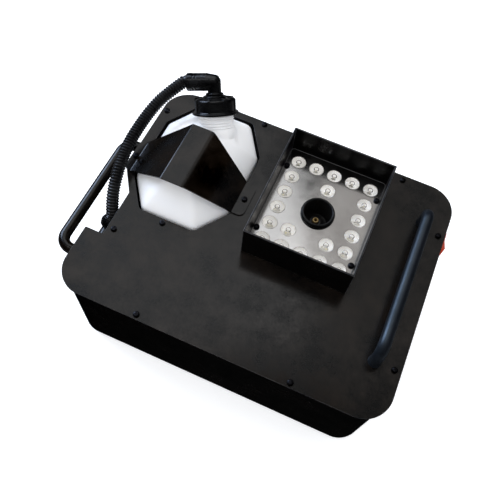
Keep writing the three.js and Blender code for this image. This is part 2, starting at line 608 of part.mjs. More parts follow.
place('left_handle', handle(LEFT_HANDLE.near, LEFT_HANDLE.far, LEFT_HANDLE.reach,
  (y, out) => [OVERHANG - GAP - out, y, LEFT_HANDLE.z]), steelBlack());
place('right_handle', handle(RIGHT_HANDLE.near, RIGHT_HANDLE.far, RIGHT_HANDLE.reach,
  (y, out) => [RIGHT_HANDLE.x, y, GAP + out]), steelBlack());

// ---------------------------------------------------------------- switch, sockets and menu panel
const face = WALL_X + GAP;
function rockerBezel() {
  const { y, z, length, width } = ROCKER;
  const rim = box(face, face + ROCKER.rim,
    y - length / 2 - 4, y + length / 2 + 4, z - width / 2 - 3, z + width / 2 + 3);
  const body = box(face - ROCKER.body, face + 1,
    y - length / 2 - 1, y + length / 2 + 1, z - width / 2 - 1, z + width / 2 + 1);
  const room = box(face - 12, face + 5, y - length / 2, y + length / 2, z - width / 2, z + width / 2);
  return cut(join(rim, body), room);
}

// The rocker's face is a shallow V; it rests with its front end raised.
function rocker() {
  const { y, z, length, width, tilt, proud } = ROCKER;
  const half = length / 2 - 1;
  const shape = new THREE.Shape([
    [-9, -6], [-9, 6], [-1, half - 0.6], [3.4, half - 0.6], [5, half - 1.4], [3.6, 0],
    [5, -half + 1.4], [3.4, -half + 0.6], [-1, -half + 0.6],
  ].map(([out, along]) => new THREE.Vector2(out, along)));
  const body = slab(shape, -width / 2 + 0.6, width / 2 - 0.6);
  const geometry = geometryOf(body);
  return geometry.rotateZ(THREE.MathUtils.degToRad(tilt)).translate(face + proud, y, z);
}

function dataSocket(z, male) {
  const { y, flangeY, flangeZ, barrel, bore } = SOCKET;
  const flange = box(face, face + 2.4, y - flangeY / 2, y + flangeY / 2, z - flangeZ / 2, z + flangeZ / 2);
  const body = join(flange, rod(barrel, -20, 2, 24, 'x', [face, y, z]));
  const depth = male ? 13 : 2;
  const recess = rod(bore, 2.4 - depth, 5, 24, 'x', [face, y, z]);
  const open = cut(body, recess);
  const pins = [90, 210, 330].map((degrees) => {
    const angle = THREE.MathUtils.degToRad(degrees);
    return [face, y + 4.6 * Math.cos(angle), z + 4.6 * Math.sin(angle)];
  });
  if (male) return join(open, ...pins.map((centre) => rod(1.2, -12, -3.2, 8, 'x', centre)));
  const slot = box(face - 8, face + 5, y - 3, y + 3, z + bore - 1, z + bore + 2.3);
  return cut(open, slot, ...pins.map((centre) => rod(1.4, -8, 3, 8, 'x', centre)));
}

function powerInlet() {
  const { y, z, width, height } = INLET;
  const flange = box(face, face + 2.5, y - width / 2, y + width / 2, z - height / 2, z + height / 2);
  const body = box(face - 20, face + 1,
    y - INLET.bodyY / 2, y + INLET.bodyY / 2, z - INLET.bodyZ / 2, z + INLET.bodyZ / 2);
  const recess = box(face - 13, face + 5, y - 11, y + 11, z - 16, z + 2);
  const pins = [[0, -3], [-6.5, -10], [6.5, -10]].map(([dy, dz]) => box(
    face - 14, face - 3, y + dy - 1, y + dy + 1, z + dz - 2, z + dz + 2));
  const fuseDoor = box(face + 1.5, face + 3.6, y - 11, y + 11, z + 7, z + 18);
  return join(cut(join(flange, body), recess), ...pins, fuseDoor);
}

function menuPanel() {
  const { y, z, width, height, thick } = MENU;
  const shape = rectangle(y - width / 2, y + width / 2, z - height / 2, z + height / 2, 4);
  const geometry = new THREE.ExtrudeGeometry(shape, { depth: thick, bevelEnabled: false, curveSegments: 4 });
  geometry.rotateY(Math.PI / 2).rotateX(Math.PI / 2).translate(face, 0, 0);
  const sheet = solid(geometry);
  const window = displayBox(face - 1, face + 5, 0);
  const holes = menuButtons().map(([by, bz]) => rod(MENU_BUTTON.radius + GAP, -2, 5, 14, 'x', [face, by, bz]));
  return cut(sheet, window, ...holes);
}

// The display's opening in the menu panel, made smaller all round by `inset`.
function displayBox(x0, x1, inset) {
  const { width, height, rise } = DISPLAY;
  return box(x0, x1, MENU.y - width / 2 + inset, MENU.y + width / 2 - inset,
    MENU.z + rise - height / 2 + inset, MENU.z + rise + height / 2 - inset);
}

function menuButtons() {
  return [-1.5, -0.5, 0.5, 1.5].map((step) => [MENU.y + step * MENU_BUTTON.pitch, MENU.z + MENU_BUTTON.drop]);
}

place('rocker_bezel', rockerBezel(), plasticBlack());
place('power_rocker', rocker(), rockerRed());
SOCKETS.forEach(({ name, z }, i) => place(name, dataSocket(z, i === 0), plasticBlack()));
const latchZ = SOCKETS[1].z + SOCKET.bore;
place('socket_latch', box(
  face - 6, face + 4.6, SOCKET.y - 2.6, SOCKET.y + 2.6, latchZ - 0.6, latchZ + 1.9), zinc());
place('power_inlet', powerInlet(), plasticBlack());
place('menu_panel', menuPanel(), plasticBlack());
place('display_window', displayBox(face - 1.5, face + 1.9, GAP), smokedWindow());
menuButtons().forEach(([y, z], i) => {
  const { radius, travel } = MENU_BUTTON;
  const top = MENU.thick + travel + 0.6;
  const profile = [[0, -1.5], [radius, -1.5], [radius, top - 0.8], [radius - 0.8, top], [0, top]];
  place(`menu_button_${i + 1}`, turnedGeometry(profile, 14, 'x', [face, y, z]), plasticBlack());
});

// ---------------------------------------------------------------- boards
function controlBoard() {
  const x = WALL_X - CONTROL_BOARD.behindWall;
  const { y, z } = MENU;
  const { thick, halfY, down, up } = CONTROL_BOARD;
  const sheet = box(x, x + thick, y - halfY, y + halfY, z - down, z + up);
  const parts = [
    [-30, -10, -30, -16, 12], [-4, 14, -28, -12, 9], [20, 36, -32, -8, 14],
  ].map(([y0, y1, z0, z1, depth]) => box(x - depth, x + 0.5, y + y0, y + y1, z + z0, z + z1));
  return join(sheet, ...parts);
}

function powerSupply() {
  const { x0, x1, y0, y1, lift, thick } = SUPPLY;
  const base = -CASE_HEIGHT + BOTTOM_THICK + GAP;
  const onBoard = base + lift + thick / 2;
  const sheet = box(x0, x1, y0, y1, base + lift, base + lift + thick);
  const legPlaces = [[x0 + 4, y0 + 4], [x1 - 4, y0 + 4], [x0 + 4, y1 - 4], [x1 - 4, y1 - 4]];
  const legs = legPlaces.map(([x, y]) => rod(3, base, onBoard, 10, 'z', [x, y, 0]));
  const transformer = box(x0 + 10, x0 + 42, y0 + 12, y0 + 48, onBoard, onBoard + 28);
  const capacitors = [18, 40].map((dy) => rod(8, onBoard, onBoard + 25, 14, 'z', [x0 + 57, y0 + dy, 0]));
  const heatSink = box(x1 - 22, x1 - 8, y0 + 10, y0 + 50, onBoard, onBoard + 22);
  return join(sheet, ...legs, transformer, ...capacitors, heatSink);
}

place('control_board', controlBoard(), boardGreen());
place('power_supply', powerSupply(), boardGreen());

// ---------------------------------------------------------------- screws
const screwHead = [[0, 0], [3.5, 0], [3.4, 1.3], [2.4, 2.3], [0, 2.6]];
function screws(prefix, places, z) {
  places.forEach(([x, y], i) => {
    const screw = place(`${prefix}_${i + 1}`, turnedGeometry(screwHead, 10), plasticBlack());
    screw.position.set(x, y, z + GAP);
  });
}
screws('plate_screw', PLATE_SCREWS, 0);
screws('strap_screw', STRAP_SCREWS, GAP + STRAP.sheet);
const panelScrewPlaces = [[-1, 1], [1, 1], [1, -1], [-1, -1]].map(([sx, sy]) => [
  HOOD_MID.x + sx * PANEL_SCREW.dx, HOOD_MID.y + sy * PANEL_SCREW.dy]);
screws('panel_screw', panelScrewPlaces, PANEL.z + PANEL.thick);

// ---------------------------------------------------------------- origin
// The origin is the middle of the model's footprint, on the surface that the feet stand on.
machine.updateMatrixWorld(true);
const bounds = new THREE.Box3().setFromObject(machine);
const centre = bounds.getCenter(new THREE.Vector3());
chassis.position.set(-centre.x, -centre.y, -bounds.min.z);
machine.updateMatrixWorld(true);

export default machine;
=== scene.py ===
import math
import random

import bmesh
import bpy
from mathutils import Matrix, Vector
from mathutils.geometry import tessellate_polygon


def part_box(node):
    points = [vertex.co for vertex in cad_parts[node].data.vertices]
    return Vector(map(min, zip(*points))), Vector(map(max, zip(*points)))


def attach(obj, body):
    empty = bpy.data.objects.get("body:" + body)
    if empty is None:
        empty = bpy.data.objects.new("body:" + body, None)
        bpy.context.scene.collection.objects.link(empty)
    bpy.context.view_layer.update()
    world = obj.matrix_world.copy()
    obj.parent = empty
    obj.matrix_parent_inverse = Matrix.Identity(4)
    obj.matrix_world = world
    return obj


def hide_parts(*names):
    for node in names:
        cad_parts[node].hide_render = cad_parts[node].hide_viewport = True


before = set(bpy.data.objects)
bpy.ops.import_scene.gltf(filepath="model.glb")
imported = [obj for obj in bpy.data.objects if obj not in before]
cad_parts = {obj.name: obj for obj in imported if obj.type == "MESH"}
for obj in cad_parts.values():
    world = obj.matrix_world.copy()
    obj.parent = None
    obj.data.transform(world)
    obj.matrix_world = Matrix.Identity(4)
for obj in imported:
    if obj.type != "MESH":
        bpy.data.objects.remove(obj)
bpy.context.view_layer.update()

MM = 0.001
GAP = 0.3
BODY = "case"

plate_low, plate_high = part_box("top_plate")
ORIGIN = Vector((plate_low.x, plate_low.y, plate_high.z))


def to_metres(point):
    return ORIGIN + Vector(point) * MM


def box_mm(node):
    """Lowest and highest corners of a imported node, in millimetres from the plate's corner."""
    low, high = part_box(node)
    return (low - ORIGIN) / MM, (high - ORIGIN) / MM


# ------------------------------------------------------------------ driving dimensions
PLATE = {"width": 370.0, "depth": 295.0, "corner": 33.0, "thick": 2.0}
OVERHANG = 4.0
SHEET = 2.0
NOTCH = {"right": 21.5, "front": 73.0, "back": 132.0, "slant_end": 164.5}
WELL = {"left": 13.5, "right": 137.0, "front": 118.0, "back": 286.0}
WELL_CHAMFER = {"dx": 28.0, "front_dy": 40.0, "back_dy": 44.0}
NECK_BASE = Vector((80.4, 239.9, 19.7))
NECK_AZIMUTH = math.radians(30.3)
NECK_ELEVATION = math.radians(48.5)
ELBOW_SWIVEL = math.radians(-19.75)
HOOD_LOW, HOOD_HIGH = box_mm("light_hood")
HOOD_MID = (HOOD_LOW + HOOD_HIGH) / 2
CASE_LOW, CASE_HIGH = box_mm("body_shell")
WALL_X = CASE_HIGH.x
LED_PITCH = 22.3


# ------------------------------------------------------------------ mesh helpers
NEARLY_STRAIGHT = math.radians(89)


def arc_corner(before, corner, after, radius, steps):
    """Points of the arc that rounds one corner of an outline."""
    corner = Vector(corner)
    to_before = (Vector(before) - corner).normalized()
    to_after = (Vector(after) - corner).normalized()
    half = to_before.angle(to_after) / 2
    if radius <= 0 or half > NEARLY_STRAIGHT:
        return [corner]
    centre = corner + (to_before + to_after).normalized() * (radius / math.sin(half))
    start = corner + to_before * (radius / math.tan(half)) - centre
    end = corner + to_after * (radius / math.tan(half)) - centre
    turn = start.angle(end)
    weights = [(math.sin((1 - i / steps) * turn), math.sin(i / steps * turn)) for i in range(steps + 1)]
    return [centre + (start * near + end * far) / math.sin(turn) for near, far in weights]


def rounded(points, steps=8, closed=True):
    """Outline or profile with rounded corners; each point is (x, y, radius)."""
    result = []
    count = len(points)
    for i, (x, y, radius) in enumerate(points):
        is_end = not closed and i in (0, count - 1)
        if is_end:
            result.append(Vector((x, y)))
            continue
        before, after = points[i - 1][:2], points[(i + 1) % count][:2]
        result.extend(arc_corner(before, (x, y), after, radius, steps))
    return result


def circle(x, y, radius, sides):
    step = 2 * math.pi / sides
    return [Vector((x + radius * math.cos(i * step), y + radius * math.sin(i * step)))
            for i in range(sides)]


def rectangle(x0, x1, y0, y1, radius=0.0, steps=6):
    return rounded([(x0, y0, radius), (x1, y0, radius), (x1, y1, radius), (x0, y1, radius)], steps)


def add_slab(bm, outline, z0, z1, holes=()):
    """Flat sheet between two heights, with holes, as one closed skin."""
    loops = [list(outline)] + [list(hole) for hole in holes]
    flat = [[Vector((p.x, p.y, 0)) for p in loop] for loop in loops]
    low = [bm.verts.new((p.x, p.y, z0)) for loop in loops for p in loop]
    high = [bm.verts.new((p.x, p.y, z1)) for loop in loops for p in loop]
    for a, b, c in tessellate_polygon(flat):
        bm.faces.new((high[a], high[b], high[c]))
        bm.faces.new((low[c], low[b], low[a]))
    start = 0
    for loop in loops:
        count = len(loop)
        for i in range(count):
            a, b = start + i, start + (i + 1) % count
            bm.faces.new((low[a], low[b], high[b], high[a]))
        start += count


def add_box(bm, low, high):
    add_slab(bm, rectangle(low[0], high[0], low[1], high[1], 0, 1), low[2], high[2])


def add_lathe(bm, profile, segments, matrix=Matrix.Identity(4), phase=0.0):
    """Surface of revolution about z; the profile is (radius, height) pairs."""
    rings = []
    for radius, height in profile:
        if radius < 1e-6:
            rings.append([bm.verts.new(matrix @ Vector((0, 0, height)))])
            continue
        angles = [phase + 2 * math.pi * i / segments for i in range(segments)]
        points = [Vector((radius * math.cos(a), radius * math.sin(a), height)) for a in angles]
        rings.append([bm.verts.new(matrix @ point) for point in points])
    for lower, upper in zip(rings, rings[1:]):
        if len(lower) == 1 and len(upper) == 1:
            continue
        for i in range(segments):
            j = (i + 1) % segments
            if len(lower) == 1:
                bm.faces.new((lower[0], upper[i], upper[j]))
            elif len(upper) == 1:
                bm.faces.new((lower[i], upper[0], lower[j]))
            else:
                bm.faces.new((lower[i], upper[i], upper[j], lower[j]))


def add_loft(bm, sections, is_loop=False):
    """Closed skin through rings of points: a flat cap at each end, or a loop back to the first."""
    rings = [[bm.verts.new(point) for point in section] for section in sections]
    for lower, upper in zip(rings, rings[1:] + rings[:is_loop]):
        for i in range(len(lower)):
            j = (i + 1) % len(lower)
            bm.faces.new((lower[i], lower[j], upper[j], upper[i]))
    if not is_loop:
        bm.faces.new(list(reversed(rings[0])))
        bm.faces.new(rings[-1])


def catmull(points, per_span):
    """Smooth line through points, with even parameter steps inside each span."""
    points = [Vector(p) for p in points]
    padded_points = [2 * points[0] - points[1], *points, 2 * points[-1] - points[-2]]
    line = []
    for i in range(1, len(padded_points) - 2):
        p0, p1, p2, p3 = padded_points[i - 1:i + 3]
        for k in range(per_span):
            t = k / per_span
            line.append(0.5 * ((2 * p1) + (p2 - p0) * t + (2 * p0 - 5 * p1 + 4 * p2 - p3) * t * t
                               + (3 * p1 - p0 - 3 * p2 + p3) * t ** 3))
    line.append(points[-1])
    return line


def even_line(points, spacing):
    """Resamples a line at even steps along its length; returns (points, length)."""
    lengths = [0.0]
    for a, b in zip(points, points[1:]):
        lengths.append(lengths[-1] + (b - a).length)
    total = lengths[-1]
    count = max(2, round(total / spacing))
    result, k = [], 0
    for i in range(count + 1):
        target = total * i / count
        while k < len(lengths) - 2 and lengths[k + 1] < target:
            k += 1
        share = (target - lengths[k]) / max(lengths[k + 1] - lengths[k], 1e-9)
        result.append(points[k].lerp(points[k + 1], min(max(share, 0.0), 1.0)))
    return result, total


def add_sweep(bm, line, radii, sides):
    """Round tube along a line with its own radius at each point, closed at both ends."""
    tangent = (line[1] - line[0]).normalized()
    normal = tangent.orthogonal().normalized()
    angles = [2 * math.pi * k / sides for k in range(sides)]
    sections = []
    for i, (point, radius) in enumerate(zip(line, radii)):
        ahead = line[min(i + 1, len(line) - 1)] - line[max(i - 1, 0)]
        next_tangent = ahead.normalized()
        turn = tangent.rotation_difference(next_tangent)
        normal = (turn @ normal).normalized()
        tangent = next_tangent
        side = tangent.cross(normal)
        sections.append([point + radius * (math.cos(a) * normal + math.sin(a) * side) for a in angles])
    add_loft(bm, sections)


def append_bmesh(target, source, matrix=Matrix.Identity(4)):
    """Moves one mesh into another, placed by the matrix."""
    source.transform(matrix)
    scratch = bpy.data.meshes.new("scratch")
    source.to_mesh(scratch)
    source.free()
    target.from_mesh(scratch)
    bpy.data.meshes.remove(scratch)


def new_object(name, bm, matrix=Matrix.Identity(4)):
    """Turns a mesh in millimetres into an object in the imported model's metres."""
    bmesh.ops.recalc_face_normals(bm, faces=bm.faces)
    mesh = bpy.data.meshes.new(name)
    bm.to_mesh(mesh)
    bm.free()
    mesh.transform(Matrix.Translation(ORIGIN) @ Matrix.Scale(MM, 4) @ matrix)
    obj = bpy.data.objects.new(name, mesh)
    bpy.context.scene.collection.objects.link(obj)
    return obj


def slab_object(name, outline, z0, z1, holes=(), matrix=Matrix.Identity(4)):
    bm = bmesh.new()
    add_slab(bm, outline, z0, z1, holes)
    return new_object(name, bm, matrix)


def lathe_object(name, profile, segments, matrix=Matrix.Identity(4)):
    """Turned solid; a profile that stays off the axis closes on itself, as a ring."""
    bm = bmesh.new()
    is_ring = profile[0][0] > 0
    add_lathe(bm, [*profile, profile[0]] if is_ring else profile, segments, matrix)
    if is_ring:
        bmesh.ops.remove_doubles(bm, verts=bm.verts, dist=1e-4)
    return new_object(name, bm)


def combine(obj, other, operation):
    """Joins another object to this one, or cuts it away, and drops the other."""
    modifier = obj.modifiers.new("combine", "BOOLEAN")
    modifier.operation = operation
    modifier.solver = "EXACT"
    modifier.object = other
    apply_modifiers(obj)
    mesh = other.data
    bpy.data.objects.remove(other)
    bpy.data.meshes.remove(mesh)


def cut_out(obj, bm):
    """Takes a cutter's solids out of an object for good."""
    combine(obj, new_object("cutter", bm), "DIFFERENCE")


def join_with(obj, bm):
    """Adds a closed shape to an object as one solid."""
    combine(obj, new_object("joined", bm), "UNION")


def apply_modifiers(obj):
    bpy.context.view_layer.update()
    evaluated = obj.evaluated_get(bpy.context.evaluated_depsgraph_get())
    mesh = bpy.data.meshes.new_from_object(evaluated)
    old = obj.data
    obj.modifiers.clear()
    obj.data = mesh
    bpy.data.meshes.remove(old)


def soften(obj, width, segments=2, angle=35, edge_highlight=False):
    """Small round edges, with flat faces that stay flat; the edges may take a second material that paints
    a highlight on them.
    """
    if width:
        bevel = obj.modifiers.new("edges", "BEVEL")
        bevel.width = width * MM
        bevel.segments = segments
        bevel.limit_method = "ANGLE"
        bevel.angle_limit = math.radians(angle)
        bevel.miter_outer = "MITER_ARC"
        bevel.use_clamp_overlap = True
        if edge_highlight:
            obj.data.materials.append(None)
            obj.data.materials.append(None)
            bevel.material = 1
        apply_modifiers(obj)
    obj.data.shade_smooth()
    obj.data.set_sharp_from_angle(angle=math.radians(angle))
    if width:
        weighted = obj.modifiers.new("flat_faces", "WEIGHTED_NORMAL")
        weighted.keep_sharp = True
        weighted.weight = 100


def give_materials(obj, names):
    """One material, or one for the faces and one for the rounded edges."""
    obj.data.materials.clear()
    for name in names.split("+"):
        obj.data.materials.append(MATERIALS[name])


def add_piece(obj, names, replaces=(), edge=0.0, segments=2, angle=35, body=BODY):
    """Finishes an object, its edges rounded by `edge` millimetres, and rides it on its body."""
    soften(obj, edge, segments, angle, edge_highlight="+" in names)
    ride_piece(obj, names, replaces, body)


def ride_piece(obj, names, replaces=(), body=BODY):
    indices = [polygon.material_index for polygon in obj.data.polygons]
    give_materials(obj, names)
    obj.data.polygons.foreach_set("material_index", indices)
    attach(obj, body)
    if replaces:
        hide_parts(*replaces)


# ------------------------------------------------------------------ material helpers
def add_node(tree, kind, **inputs):
    """Adds a node; each input is a value, or another node's socket to link from."""
    node = tree.nodes.new("ShaderNode" + kind)
    for name, value in inputs.items():
        socket = node.inputs[name.replace("_", " ")]
        if isinstance(value, bpy.types.NodeSocket):
            tree.links.new(value, socket)
        else:
            socket.default_value = value
    return node


class Shader:
    """One procedural material, with the nodes that feed its surface."""

    def __init__(self, name, color, roughness, metallic=0.0, **settings):
        self.material = bpy.data.materials.new(name)
        self.material.use_nodes = True
        self.tree = self.material.node_tree
        self.surface = self.tree.nodes["Principled BSDF"]
        settings |= {"Base_Color": (*color, 1.0), "Roughness": roughness, "Metallic": metallic}
        for setting, value in settings.items():
            self.surface.inputs[setting.replace("_", " ")].default_value = value
        self.coordinates = self.add("TexCoord").outputs["Object"]
        self.normal = None

    def add(self, kind, **inputs):
        return add_node(self.tree, kind, **inputs)

    def feed(self, output, name):
        self.tree.links.new(output, self.surface.inputs[name])
        return self

    def noise(self, scale, detail=3.0, roughness=0.5, stretch=None):
        where = self.coordinates
        if stretch:
            where = self.add("Mapping", Vector=where, Scale=stretch).outputs["Vector"]
        node = self.add("TexNoise", Vector=where, Scale=scale, Detail=detail, Roughness=roughness)
        return node.outputs["Fac"]

    def cells(self, scale):
        return self.add("TexVoronoi", Vector=self.coordinates, Scale=scale).outputs["Distance"]

    def weighted(self, pattern, share, other, rest):
        """Sum of two patterns, each times its share."""
        product = self.add("Math", Value=pattern)
        product.operation = "MULTIPLY"
        product.inputs[1].default_value = share
        total = self.add("Math", Value=other)
        total.operation = "MULTIPLY_ADD"
        total.inputs[1].default_value = rest
        self.tree.links.new(product.outputs["Value"], total.inputs[2])
        return total.outputs["Value"]

    def tint(self, pattern, start, start_color, end, end_color):
        """Colours the surface from one colour to another as the pattern rises from start to end."""
        node = self.add("ValToRGB", Fac=pattern)
        stops = ((start, start_color), (end, end_color))
        for element, (position, color) in zip(node.color_ramp.elements, stops):
            element.position = position
            element.color = (*color, 1.0)
        return self.feed(node.outputs["Color"], "Base Color")

    def gloss(self, pattern, low, high, start=0.3, end=0.7):
        """Takes the roughness from low to high as the pattern rises from start to end."""
        node = self.add("MapRange", Value=pattern, From_Min=start, From_Max=end,
                        To_Min=low, To_Max=high)
        return self.feed(node.outputs["Result"], "Roughness")

    def bump(self, pattern, height, strength=1.0):
        """Relief of a height in millimetres, on top of the reliefs before it."""
        under = {"Normal": self.normal} if self.normal else {}
        node = self.add("Bump", Height=pattern, Distance=height * MM, Strength=strength, **under)
        self.normal = node.outputs["Normal"]
        return self.feed(self.normal, "Normal")


# ------------------------------------------------------------------ materials
def powder_coat(name, color, roughness, specular, mottle, sheen=(1.0, 1.0, 1.0)):
    """Sprayed black powder coat: fine orange peel and faint brownish smudges."""
    shader = Shader(name, color, roughness, Specular_IOR_Level=specular, Specular_Tint=(*sheen, 1.0))
    dark = [c * (1 - mottle) for c in color]
    pale = [c * (1 + 2.2 * mottle) * warm for c, warm in zip(color, (1.2, 1.0, 0.85))]
    smudge, specks = shader.noise(26, 6.0, 0.68), shader.noise(420, 3.0, 0.7)
    mixed = shader.weighted(smudge, 0.72, specks, 0.28)
    shader.tint(mixed, 0.4, dark, 0.62, pale)
    shader.gloss(mixed, roughness + 0.1, roughness - 0.05, 0.4, 0.6)
    shader.bump(shader.noise(1500, 2.0), 0.05, 0.5)
    return shader.bump(shader.noise(300, 2.0), 0.06, 0.2).material


def moulded_black(name, roughness=0.3, grain=900, color=(0.004, 0.004, 0.0043)):
    """Injection-moulded black plastic with a fine spark texture and faint dust."""
    shader = Shader(name, color, roughness, Specular_IOR_Level=0.5)
    dust = shader.noise(60, 4.0, 0.6)
    shader.tint(dust, 0.4, color, 0.75, [c * 2.2 + 0.001 for c in color])
    shader.gloss(dust, roughness - 0.05, roughness + 0.1)
    return shader.bump(shader.noise(grain, 2.0), 0.03, 0.3).material


def rubber(name):
    shader = Shader(name, (0.013, 0.013, 0.013), 0.8, Specular_IOR_Level=0.3)
    shader.tint(shader.noise(90, 4.0), 0.35, (0.008, 0.008, 0.008), 0.75, (0.024, 0.023, 0.022))
    return shader.bump(shader.noise(700, 3.0), 0.06, 0.5).material


def milky_polyethylene():
    """Natural blow-moulded polyethylene: soft glow, waxy gloss and slight waviness."""
    shader = Shader("milky_polyethylene", (0.93, 0.935, 0.95), 0.36, Subsurface_Weight=0.35,
                    Subsurface_Radius=(1.0, 0.95, 0.9), Subsurface_Scale=0.006,
                    Specular_IOR_Level=0.4, IOR=1.5)
    shader.tint(shader.noise(18, 3.0), 0.3, (0.895, 0.905, 0.93), 0.7, (0.95, 0.952, 0.96))
    shader.gloss(shader.noise(120, 3.0), 0.3, 0.46)
    shader.bump(shader.noise(34, 2.0), 0.5, 0.12)
    return shader.bump(shader.noise(600, 2.0), 0.02, 0.25).material


def satin_reflector():
    """Thin aluminised sheet, close to a mirror, with faint rolling marks and wipe marks."""
    shader = Shader("satin_reflector", (0.66, 0.65, 0.64), 0.17, 1.0)
    wipe = shader.noise(30, 4.0, 0.6)
    shader.tint(wipe, 0.3, (0.62, 0.605, 0.595), 0.7, (0.76, 0.745, 0.73)).gloss(wipe, 0.1, 0.2)
    return shader.bump(shader.noise(500, 2.0, 0.5, stretch=(1.0, 0.03, 1.0)), 0.01, 0.1).material


def cut_edge():
    """Sheared, slightly matt rim of the reflector sheet."""
    shader = Shader("cut_edge", (0.22, 0.22, 0.22), 0.5, 0.35)
    shader.gloss(shader.noise(500, 2.0), 0.42, 0.6)
    return shader.bump(shader.noise(900, 2.0), 0.02, 0.3).material


def cup_painted_glow():
    """Pearly white moulded cup under each lens, with a faint emission: a painted glow for the light it
    gets through the lens.
    """
    shader = Shader("cup_painted_glow", (0.86, 0.845, 0.82), 0.3, 0.2,
                    Emission_Color=(1.0, 0.98, 0.95, 1.0), Emission_Strength=0.22)
    shader.tint(shader.noise(200, 3.0), 0.35, (0.86, 0.84, 0.81), 0.65, (0.94, 0.93, 0.91))
    shader.gloss(shader.noise(120, 2.0), 0.24, 0.4)
    return shader.bump(shader.noise(700, 2.0), 0.01, 0.2).material


def clear_lens():
    """Moulded acrylic: clear, with a trace of haze and flow marks."""
    shader = Shader("clear_lens", (0.985, 0.98, 0.97), 0.03, Transmission_Weight=1.0, IOR=1.49)
    shader.gloss(shader.noise(150, 3.0), 0.02, 0.07)
    return shader.bump(shader.noise(160, 2.0), 0.01, 0.1).material


def metal(name, color, roughness, grain, depth):
    """Bare or plated metal whose grain is cast, turned or rolled."""
    shader = Shader(name, color, roughness, 1.0)
    patina = shader.noise(45, 4.0, 0.6)
    shader.tint(patina, 0.3, [c * 0.78 for c in color], 0.7, [min(1, c * 1.08) for c in color])
    shader.gloss(patina, roughness - 0.07, roughness + 0.12)
    return shader.bump(shader.noise(grain, 3.0, 0.6), depth, 0.4).material


def zinc_spangle():
    shader = Shader("zinc_spangle", (0.55, 0.56, 0.58), 0.42, 1.0)
    spangle = shader.cells(160)
    shader.tint(spangle, 0.1, (0.46, 0.47, 0.49), 0.7, (0.64, 0.65, 0.67))
    shader.gloss(spangle, 0.34, 0.52, 0.1, 0.7)
    return shader.bump(shader.noise(400, 2.0), 0.02, 0.3).material


def circuit_board(name, mask, copper):
    """Solder mask over copper tracks, with the tracks showing as a paler relief."""
    shader = Shader(name, mask, 0.38)
    tracks = shader.add("TexBrick", Vector=shader.coordinates, Scale=180, Mortar_Size=0.04,
                        Mortar=(*copper, 1), Color1=(*mask, 1), Color2=(*[c * 0.8 for c in mask], 1))
    shader.feed(tracks.outputs["Color"], "Base Color")
    return shader.bump(tracks.outputs["Fac"], 0.04, 0.4).material


def rocker_red():
    shader = Shader("rocker_red", (0.62, 0.05, 0.018), 0.26, Transmission_Weight=0.12,
                    Coat_Weight=0.3, Coat_Roughness=0.1)
    shader.tint(shader.noise(80, 3.0), 0.3, (0.52, 0.035, 0.012), 0.7, (0.7, 0.075, 0.022))
    return shader.bump(shader.noise(700, 2.0), 0.02, 0.25).material


def smoked_window():
    """Dark polished window with a faint dot grid of the display behind it."""
    shader = Shader("smoked_window", (0.006, 0.014, 0.022), 0.07, Coat_Weight=0.6, Coat_Roughness=0.04)
    shader.tint(shader.cells(700), 0.15, (0.012, 0.03, 0.045), 0.5, (0.005, 0.011, 0.018))
    return shader.gloss(shader.noise(60, 3.0), 0.05, 0.12).material


def fluid_tubing():
    shader = Shader("fluid_tubing", (0.82, 0.8, 0.74), 0.3, Transmission_Weight=0.4, IOR=1.35)
    shader.tint(shader.noise(70, 3.0), 0.3, (0.74, 0.71, 0.63), 0.7, (0.87, 0.86, 0.82))
    return shader.bump(shader.noise(500, 2.0), 0.02, 0.3).material


def emitter_face():
    """Pale phosphor face of each light chip, split into four coloured dies."""
    shader = Shader("emitter_face", (0.85, 0.78, 0.45), 0.35)
    shader.tint(shader.cells(420), 0.1, (0.92, 0.86, 0.5), 0.5, (0.75, 0.72, 0.66))
    return shader.bump(shader.noise(900, 2.0), 0.02, 0.3).material


MATERIALS = {
    "plate": powder_coat("plate_powder_coat", (0.0032, 0.0029, 0.0027), 0.18, 0.46, 0.85),
    # The case's coat is a darker, duller copy of the plate's paint: painted shade on the walls, which
    # face away from the lights.
    "case": powder_coat("case_coat_painted_shade", (0.0010, 0.0010, 0.0011), 0.3, 0.15, 0.5),
    # Bluish colour and bluish specular tint for the right handle: a painted sheen on top of the black
    # paint.
    "tube": powder_coat("tube_coat_painted_sheen", (0.0046, 0.0062, 0.0100), 0.4, 1.0, 0.3, (0.7, 0.86, 1.0)),
    # Paler, bluish paint for the rounded edges: a painted highlight, the light those edges catch.
    "paint_edge": powder_coat("edge_coat_painted_highlight", (0.03, 0.034, 0.041), 0.34, 0.6, 0.4),
    "cut_edge": cut_edge(),
    "rubber": rubber("foot_rubber"),
    "bottle": milky_polyethylene(),
    "cap": moulded_black("cap_plastic", 0.2),
    "hose": moulded_black("hose_plastic", 0.26, 700, (0.006, 0.006, 0.0065)),
    "panel": moulded_black("panel_plastic", 0.45, 1400, (0.007, 0.007, 0.0075)),
    "shroud": moulded_black("shroud_plastic", 0.34, 1100, (0.003, 0.003, 0.003)),
    "screw": metal("black_zinc", (0.035, 0.035, 0.04), 0.36, 800, 0.02),
    "reflector": satin_reflector(),
    "cup": cup_painted_glow(),
    "lens": clear_lens(),
    "emitter": emitter_face(),
    "led_board": circuit_board("white_board", (0.78, 0.78, 0.76), (0.6, 0.58, 0.5)),
    "board": circuit_board("green_board", (0.018, 0.11, 0.05), (0.05, 0.2, 0.08)),
    "brass": metal("turned_brass", (0.74, 0.52, 0.24), 0.26, 600, 0.01),
    "aluminium": metal("cast_aluminium", (0.6, 0.61, 0.62), 0.45, 500, 0.12),
    "zinc": zinc_spangle(),
    "pin": metal("nickel_pin", (0.78, 0.76, 0.72), 0.22, 700, 0.005),
    "rocker": rocker_red(),
    "window": smoked_window(),
    "tubing": fluid_tubing(),
}


